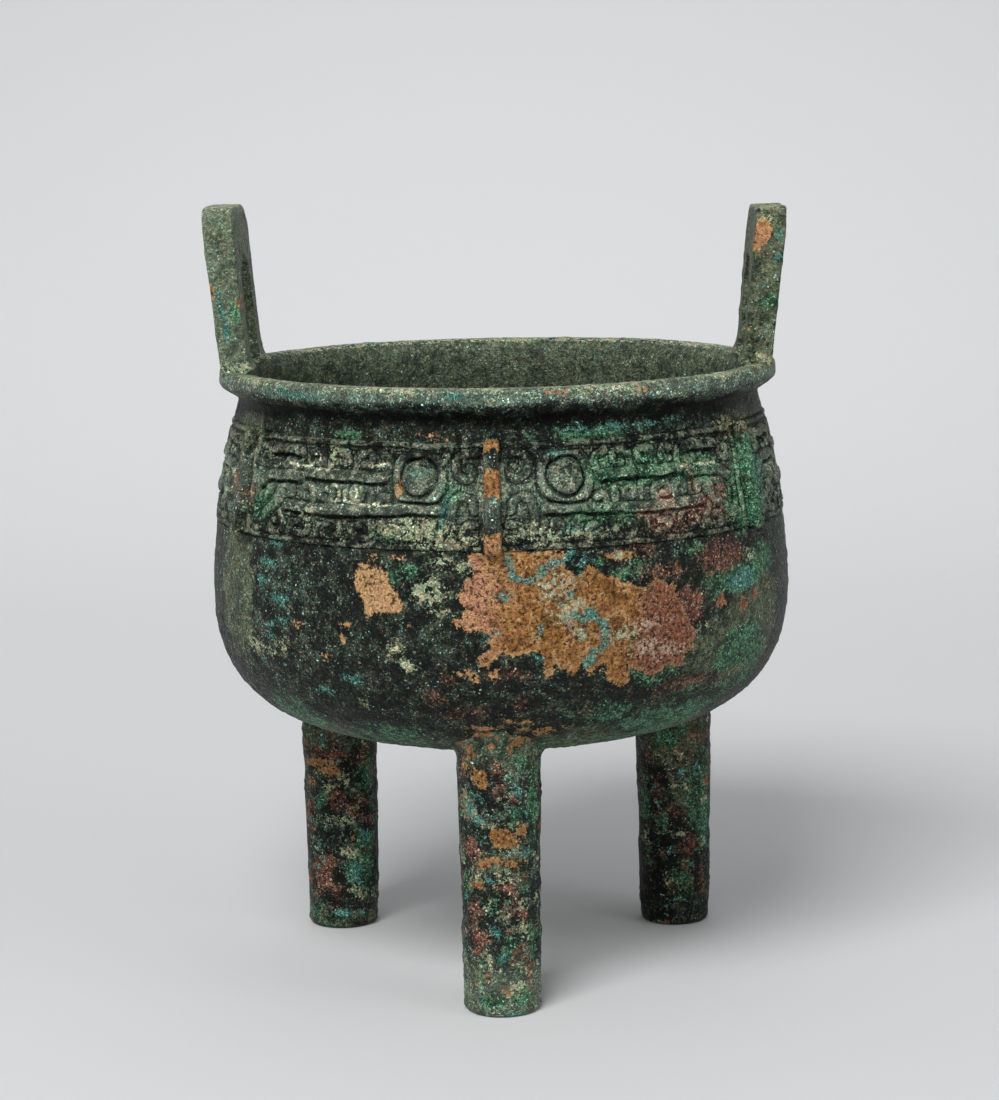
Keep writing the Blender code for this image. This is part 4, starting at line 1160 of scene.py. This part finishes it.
def buildLeg(number, middle, material):
    # straight sides up to the fillet, whose end lies on the bowl's underside all round
    p = legPiece
    outward = math.radians(middle - 90.0)
    axis = vessel["legCircle"] * np.array([math.cos(outward), math.sin(outward)])
    turn = np.linspace(0.0, 2 * math.pi, p["columns"], endpoint=False)
    ray = np.stack([np.cos(turn + outward), np.sin(turn + outward)], axis=1)

    def surface(reach):
        return underside(np.linalg.norm(axis + ray * reach[:, None], axis=1))

    grow = np.linspace(1.0, 0.0, p["filletRows"])[:, None]
    reach = p["topRadius"] + p["fillet"] * (1.0 - np.sqrt(np.clip(1.0 - grow ** 2, 0.0, 1.0)))
    reach = np.repeat(reach, p["columns"], axis=1)
    under = np.array([surface(row) for row in reach])
    start = surface(reach[-1]) - p["fillet"]
    filletZ = start + (under + 0.7 * mm - start) * grow
    down = np.linspace(0.0, 1.0, p["rows"])[1:, None]
    footTop = p["footRound"]
    sideZ = start + (footTop - start) * down
    sideReach = p["topRadius"] + (p["footRadius"] - p["topRadius"]) * down + 0.0 * sideZ
    curve = np.linspace(0.0, math.pi / 2, 9)[1:, None]
    edgeReach = p["footRadius"] - p["footRound"] * (1.0 - np.cos(curve)) + 0.0 * sideZ[:1]
    edgeZ = footTop * (1.0 - np.sin(curve)) + 0.0 * sideZ[:1]
    inward = np.linspace(1.0, 0.14, 7)[1:, None]
    soleReach = (p["footRadius"] - p["footRound"]) * inward + 0.0 * sideZ[:1]
    reach = np.vstack([reach, sideReach, edgeReach, soleReach])
    z = np.vstack([filletZ, sideZ, edgeZ, 0.0 * soleReach])
    grid = np.concatenate([axis + ray * reach[..., None], z[..., None]], axis=2)
    normal = rowNormals(grid)
    depth = crustDepth(grid, p["crust"], p["warts"], 120 + number)
    flake = smoothRise((layeredNoise(grid, 9 * mm, 2, 140 + number) - 0.15) * 6.0)
    depth = depth - p["flakes"] * flake
    foot = smoothRise(grid[..., 2] / (1.2 * mm))
    grid = grid + normal * (depth * foot)[..., None]
    grid[..., 2] = np.maximum(grid[..., 2], 0.0)
    caps = (np.array([axis[0], axis[1], float(underside(np.linalg.norm(axis))) + 1.2 * mm]),
            np.array([axis[0], axis[1], 0.0]))
    points = skinPoints(grid, caps)
    around = np.concatenate([np.tile(np.degrees(turn) + middle, len(grid)), [0.0, 0.0]])
    around = (around + 180.0) % 360.0 - 180.0
    first, second, light = legTints(points, around, number)
    tints = {"crustA": first, "crustB": second, "paintedLightAndTone": light}
    return place(f"leg_{number + 1}", grid, caps, tints, material)


def buildLegs():
    material = patinaMaterial("legPatina", legLook)
    return [buildLeg(i, i * 120.0, material) for i in range(3)]


# Handles: upright loops on the lip, leaning outwards a little

handlePiece = {
    "rows": 190,
    "columns": 112,
    "height": {-1: 42.7 * mm, 1: 40.5 * mm},
    "footHalf": 19.6 * mm,
    "topHalf": 18.4 * mm,
    "cornerRadius": 11.0 * mm,
    "openingHalf": 9.5 * mm,
    "topBar": 13.4 * mm,
    "footThickness": 7.6 * mm,
    "topThickness": 8.8 * mm,
    "setIn": 2.1 * mm,
    "lean": 4.6 * mm,
    "sunk": 3.0 * mm,         # how far the feet go into the lip
    "rootThickness": 4.0 * mm,
    "rootSetIn": 0.9 * mm,
    "flare": 1.5 * mm,        # the feet widen where they meet the lip
    "edge": 0.7 * mm,         # rounding of the section's corners
    "barHalf": 4.6 * mm,      # half the bar's width, as the rounding takes it
    "crust": 0.16 * mm,
    "warts": 0.26 * mm,
}

# Patches on the front edge of each handle, in mm: across from the outer face, up from the lip, half sizes
handlePatches = {
    -1: {"tan": [(0.6, 21, 0.7, 1.7), (7.6, 17.8, 0.7, 0.9), (1.0, 42.9, 1.4, 0.7), (4.6, 33.4, 0.4, 0.5)],
         "green": [(6.0, 15, 1.2, 2.4)],
         "blue": [(2.4, 20, 0.7, 1.0), (2.6, 15.5, 0.7, 2.4), (3.2, 10.5, 0.8, 2.4)],
         "cream": [(5.4, 1.2, 3.0, 0.7), (7.8, 19.4, 0.6, 0.5)]},
    1: {"tan": [(6.2, 35.4, 1.9, 2.0), (6.4, 32.8, 2.4, 1.9), (7.4, 30.8, 1.2, 1.6), (5.2, 33.8, 1.4, 1.8),
                (7.9, 8.6, 0.8, 0.5)],
        "blue": [(1.9, 33.6, 0.6, 1.6), (1.4, 27.6, 0.9, 1.0), (4.6, 20.5, 0.4, 0.6)],
        "cream": [(6.6, 37.8, 2.1, 0.7), (4.8, 37.3, 1.0, 0.6), (3.4, 2.0, 1.6, 0.5)]},
}

# Noise over these levels makes patches on the rest of the handles
handleLevels = {"tan": 0.75, "red": 0.62, "green": 0.50, "blue": 0.66, "cream": 0.72}

handleLook = {"rough": 0.62, "metal": 0.10, "grey": 0.9, "olive": 0.9, "speckle": 0.42, "gritBump": 0.8,
              "bump": 0.8, "calm": 0.55, "carved": False}


def loopLines(height):
    # The outer and the inner outline of the loop as (along the rim, height) points that belong together:
    # up one side, round the arch by angle, and down the other.
    p = handlePiece
    centre = height - p["topBar"] - p["openingHalf"]
    side = np.linspace(-p["sunk"], centre, 46)[:-1]
    climb = np.clip(side / height, 0.0, 1.0)
    outerSide = np.stack([p["footHalf"] + (p["topHalf"] - p["footHalf"]) * climb, side], axis=1)
    innerSide = np.stack([np.full(len(side), p["openingHalf"]), side], axis=1)
    turn = np.linspace(0.0, math.pi / 2, 50)
    innerArch = np.stack([p["openingHalf"] * np.cos(turn), centre + p["openingHalf"] * np.sin(turn)], axis=1)
    start = p["footHalf"] + (p["topHalf"] - p["footHalf"]) * centre / height
    turned = [(start, centre), (p["topHalf"], height), (0.0, height)]
    corner = evenly(roundedLine(turned, [p["cornerRadius"]], 40), 0.2 * mm)
    share = np.linspace(0.0, 1.0, len(corner))
    outerArch = np.stack([np.interp(turn / turn[-1], share, corner[:, k]) for k in (0, 1)], axis=1)
    outer = np.vstack([outerSide, outerArch])
    inner = np.vstack([innerSide, innerArch])
    mirror = np.array([-1.0, 1.0])
    return np.vstack([outer, outer[-2::-1] * mirror]), np.vstack([inner, inner[-2::-1] * mirror])


def softBox(halfWide, halfHigh, edge, count):
    # a rectangle with rounded corners as count points about evenly spaced, each from -1 to 1 both ways
    corner = np.linspace(0.0, math.pi / 2, 7)
    line = []
    for turn, (x, y) in enumerate(((1, 1), (-1, 1), (-1, -1), (1, -1))):
        centre = np.array([x * (halfWide - edge), y * (halfHigh - edge)])
        for angle in corner + turn * math.pi / 2:
            line.append(centre + edge * np.array([math.cos(angle), math.sin(angle)]))
    line.append(line[0])
    line = np.array(line)
    run = np.concatenate([[0.0], np.cumsum(np.linalg.norm(np.diff(line, axis=0), axis=1))])
    at = np.linspace(0.0, run[-1], count, endpoint=False)
    return np.interp(at, run, line[:, 0]) / halfWide, np.interp(at, run, line[:, 1]) / halfHigh


def buildHandle(name, side, material):
    p = handlePiece
    total = p["height"][side]
    outer, inner = loopLines(total)
    inPlane, across = softBox(p["barHalf"], p["footThickness"] / 2, p["edge"], p["columns"])
    height = (outer[:, 1] + inner[:, 1]) / 2
    low = np.exp(-np.clip(height, 0.0, 1.0) / (2.0 * mm)) * p["flare"]
    middle, reach = (outer + inner) / 2, (outer - inner) / 2
    wide = 1.0 + low / np.linalg.norm(reach, axis=1)
    flat = middle[:, None, :] + reach[:, None, :] * (inPlane * wide[:, None])[..., None]
    climb = np.clip(flat[..., 1], 0.0, total) / total
    sink = np.clip(-flat[..., 1], 0.0, p["sunk"]) / p["sunk"]
    thickness = p["footThickness"] + (p["topThickness"] - p["footThickness"]) * climb
    thickness = thickness - (p["footThickness"] - p["rootThickness"]) * sink
    face = vessel["lipRadius"] - p["setIn"] + p["lean"] * climb - p["rootSetIn"] * sink
    inside = low[:, None] * (1.0 - sink) * np.clip(-across, 0.0, 1.0)
    radius = face - thickness / 2 + across * thickness / 2 - inside
    grid = np.stack([side * radius, flat[..., 0], vessel["rimZ"] + flat[..., 1]], axis=2)
    normal = rowNormals(grid)
    centre = np.stack([side * (face - thickness / 2), middle[:, None, 0] + 0 * flat[..., 0],
                       vessel["rimZ"] + middle[:, None, 1] + 0 * flat[..., 0]], axis=2)
    if np.sum((grid - centre) * normal) < 0:
        normal = -normal
    depth = crustDepth(grid, p["crust"], p["warts"], 160 + side) - 0.1 * mm
    grid = grid + normal * depth[..., None]
    grid[..., 2] = np.minimum(grid[..., 2], cadHigh[2])
    caps = (grid[0].mean(axis=0), grid[-1].mean(axis=0))
    points = skinPoints(grid, caps)
    above = np.clip(points[:, 2] - vessel["rimZ"], 0, 1)
    outerFace = vessel["lipRadius"] - p["setIn"] + p["lean"] * above / total
    inFrom = (outerFace - side * points[:, 0]) / mm
    up = (points[:, 2] - vessel["rimZ"]) / mm
    front = smoothRise((-points[:, 1] / mm - 12.0) / 3.0)
    fields = []
    for k, (word, level) in enumerate(handleLevels.items()):
        plan = handlePatches[side].get(word, [])
        ovals = [(a / mmPerDegree, b, c / mmPerDegree, d) for a, b, c, d in plan]
        near = ovalField(inFrom / mmPerDegree, up, ovals) * 2.0
        near = near - patina["farOut"] * (1.0 - front)
        loose = (layeredNoise(points, 9 * mm, 3, 500 + 17 * k + side) - level) * 12.0
        fields.append(asField(np.maximum(near, loose)))
    dust = np.maximum(up - total / mm + 1.2, 1.4 - up) + 1.3 * softNoise(points, 5 * mm, 247)
    fields[4] = np.maximum(fields[4], asField(np.minimum(dust, 1.0) - 0.7))
    olive = 0.72 + 0.2 * softNoise(points, 14 * mm, 33)
    warmth = np.full(len(points), 0.42)
    speckle = np.full(len(points), 0.35)
    # painted light: both handles brighter than plain crust, the left more than the right, and brighter again
    # near the top
    light = (0.74 if side < 0 else 0.56) + 0.10 * softNoise(points, 7 * mm, 35)
    light = light + 0.16 * smoothRise((up - 37.0) / 4.0)
    first = np.stack(fields[:4], axis=-1)
    second = np.stack([fields[4], warmth, olive, speckle], axis=-1)
    return place(name, grid, caps, {"crustA": first, "crustB": second, "paintedLightAndTone": light}, material)


def buildHandles():
    material = patinaMaterial("handlePatina", handleLook)
    return [buildHandle("handle_left", -1, material), buildHandle("handle_right", 1, material)]


# Floor, light and camera

stage = {
    "floorFront": -1.6,
    "floorBack": 0.55,
    "bendRadius": 0.9,
    "wallTop": 3.2,
    "halfWidth": 3.0,
    "shade": tone(214, 215, 216),
    "rough": 0.9,
    "gloss": 0.1,
    "skyTone": tone(240, 241, 242),
    "skyStrength": 0.345,
}


def buildStage():
    # a floor that bends up into a back wall: straight, a quarter circle, straight
    turn = np.linspace(0.0, math.pi / 2, 25)
    bend, foot = stage["bendRadius"], stage["floorBack"]
    y = np.concatenate([[stage["floorFront"]], foot + bend * np.sin(turn), [foot + bend]])
    z = np.concatenate([[0.0], bend * (1.0 - np.cos(turn)), [stage["wallTop"]]])
    x = np.array([-stage["halfWidth"], stage["halfWidth"]])
    count = len(y)
    points = np.concatenate([np.stack([np.full(count, at), y, z], axis=1) for at in x])
    faces = np.stack([np.arange(count - 1), np.arange(count - 1) + count, np.arange(1, count) + count,
                      np.arange(1, count)], axis=1)
    mesh = bpy.data.meshes.new("backdrop")
    mesh.from_pydata(points.tolist(), [], faces.tolist())
    mesh.shade_smooth()
    material = bpy.data.materials.new("palePaper")
    material.use_nodes = True
    shader = material.node_tree.nodes["Principled BSDF"]
    shader.inputs["Base Color"].default_value = stage["shade"]
    shader.inputs["Roughness"].default_value = stage["rough"]
    shader.inputs["Specular IOR Level"].default_value = stage["gloss"]
    mesh.materials.append(material)
    sweep = bpy.data.objects.new("backdrop", mesh)
    bpy.context.scene.collection.objects.link(sweep)


lamps = [
    {"name": "keySoftbox", "from": (-0.38, -1.02, 1.26), "aim": (0.0, 0.0, 0.10), "size": (0.80, 0.60),
     "power": 22.0, "spread": 180},
    {"name": "rightFill", "from": (1.20, -0.70, 0.70), "aim": (0.0, 0.0, 0.10), "size": (0.7, 0.7),
     "power": 3.0, "spread": 180},
    {"name": "backdropLamp", "from": (0.0, 0.95, 1.70), "aim": (0.0, 0.95, 0.0), "size": (1.6, 0.5),
     "power": 2.5, "spread": 70},
]


def buildLight():
    for lamp in lamps:
        data = bpy.data.lights.new(lamp["name"], "AREA")
        data.shape = "RECTANGLE"
        data.size, data.size_y = lamp["size"]
        data.energy = lamp["power"]
        data.spread = math.radians(lamp["spread"])
        holder = bpy.data.objects.new(lamp["name"], data)
        holder.location = lamp["from"]
        towards = Vector(lamp["aim"]) - Vector(lamp["from"])
        holder.rotation_euler = towards.to_track_quat("-Z", "Y").to_euler()
        bpy.context.scene.collection.objects.link(holder)
    world = bpy.data.worlds.new("studio")
    world.use_nodes = True
    sky = world.node_tree.nodes["Background"]
    sky.inputs["Color"].default_value = stage["skyTone"]
    sky.inputs["Strength"].default_value = stage["skyStrength"]
    bpy.context.scene.world = world
    bpy.context.scene.view_settings.view_transform = "Standard"
    bpy.context.scene.view_settings.look = "None"


viewpoint = {
    "distance": 0.800,
    "target": (-0.0003, 0.0, 0.1117),
    "pitch": 9.05,            # degrees downwards
    "roll": -1.0,
    "yaw": 1.5,               # degrees round the bowl's axis, towards +X
    "lens": 95.95,
    "sensor": 36.0,
}


def buildCamera():
    # forward, right and up from the pitch, then the roll, then the turn round the bowl's axis
    pitch, roll = math.radians(viewpoint["pitch"]), math.radians(viewpoint["roll"])
    forward = Vector((0.0, math.cos(pitch), -math.sin(pitch)))
    right = Vector((1.0, 0.0, 0.0))
    upward = right.cross(forward)
    location = Vector(viewpoint["target"]) - forward * viewpoint["distance"]
    rolledRight = right * math.cos(roll) + upward * math.sin(roll)
    rolledUp = upward * math.cos(roll) - right * math.sin(roll)
    axes = Matrix((rolledRight, rolledUp, -forward)).transposed().to_4x4()
    data = bpy.data.cameras.new("photoCamera")
    data.lens = viewpoint["lens"]
    data.sensor_width = viewpoint["sensor"]
    data.clip_start = 0.01
    data.clip_end = 50.0
    camera = bpy.data.objects.new("photoCamera", data)
    turn = Matrix.Rotation(math.radians(viewpoint["yaw"]), 4, "Z")
    camera.matrix_world = turn @ Matrix.Translation(location) @ axes
    bpy.context.scene.collection.objects.link(camera)
    bpy.context.scene.camera = camera


buildBowl()
buildBand()
buildFlanges()
buildLegs()
buildHandles()
buildStage()
buildLight()
buildCamera()

print("ding: CAD box", [round(c, 5) for c in (*cadLow, *cadHigh)])
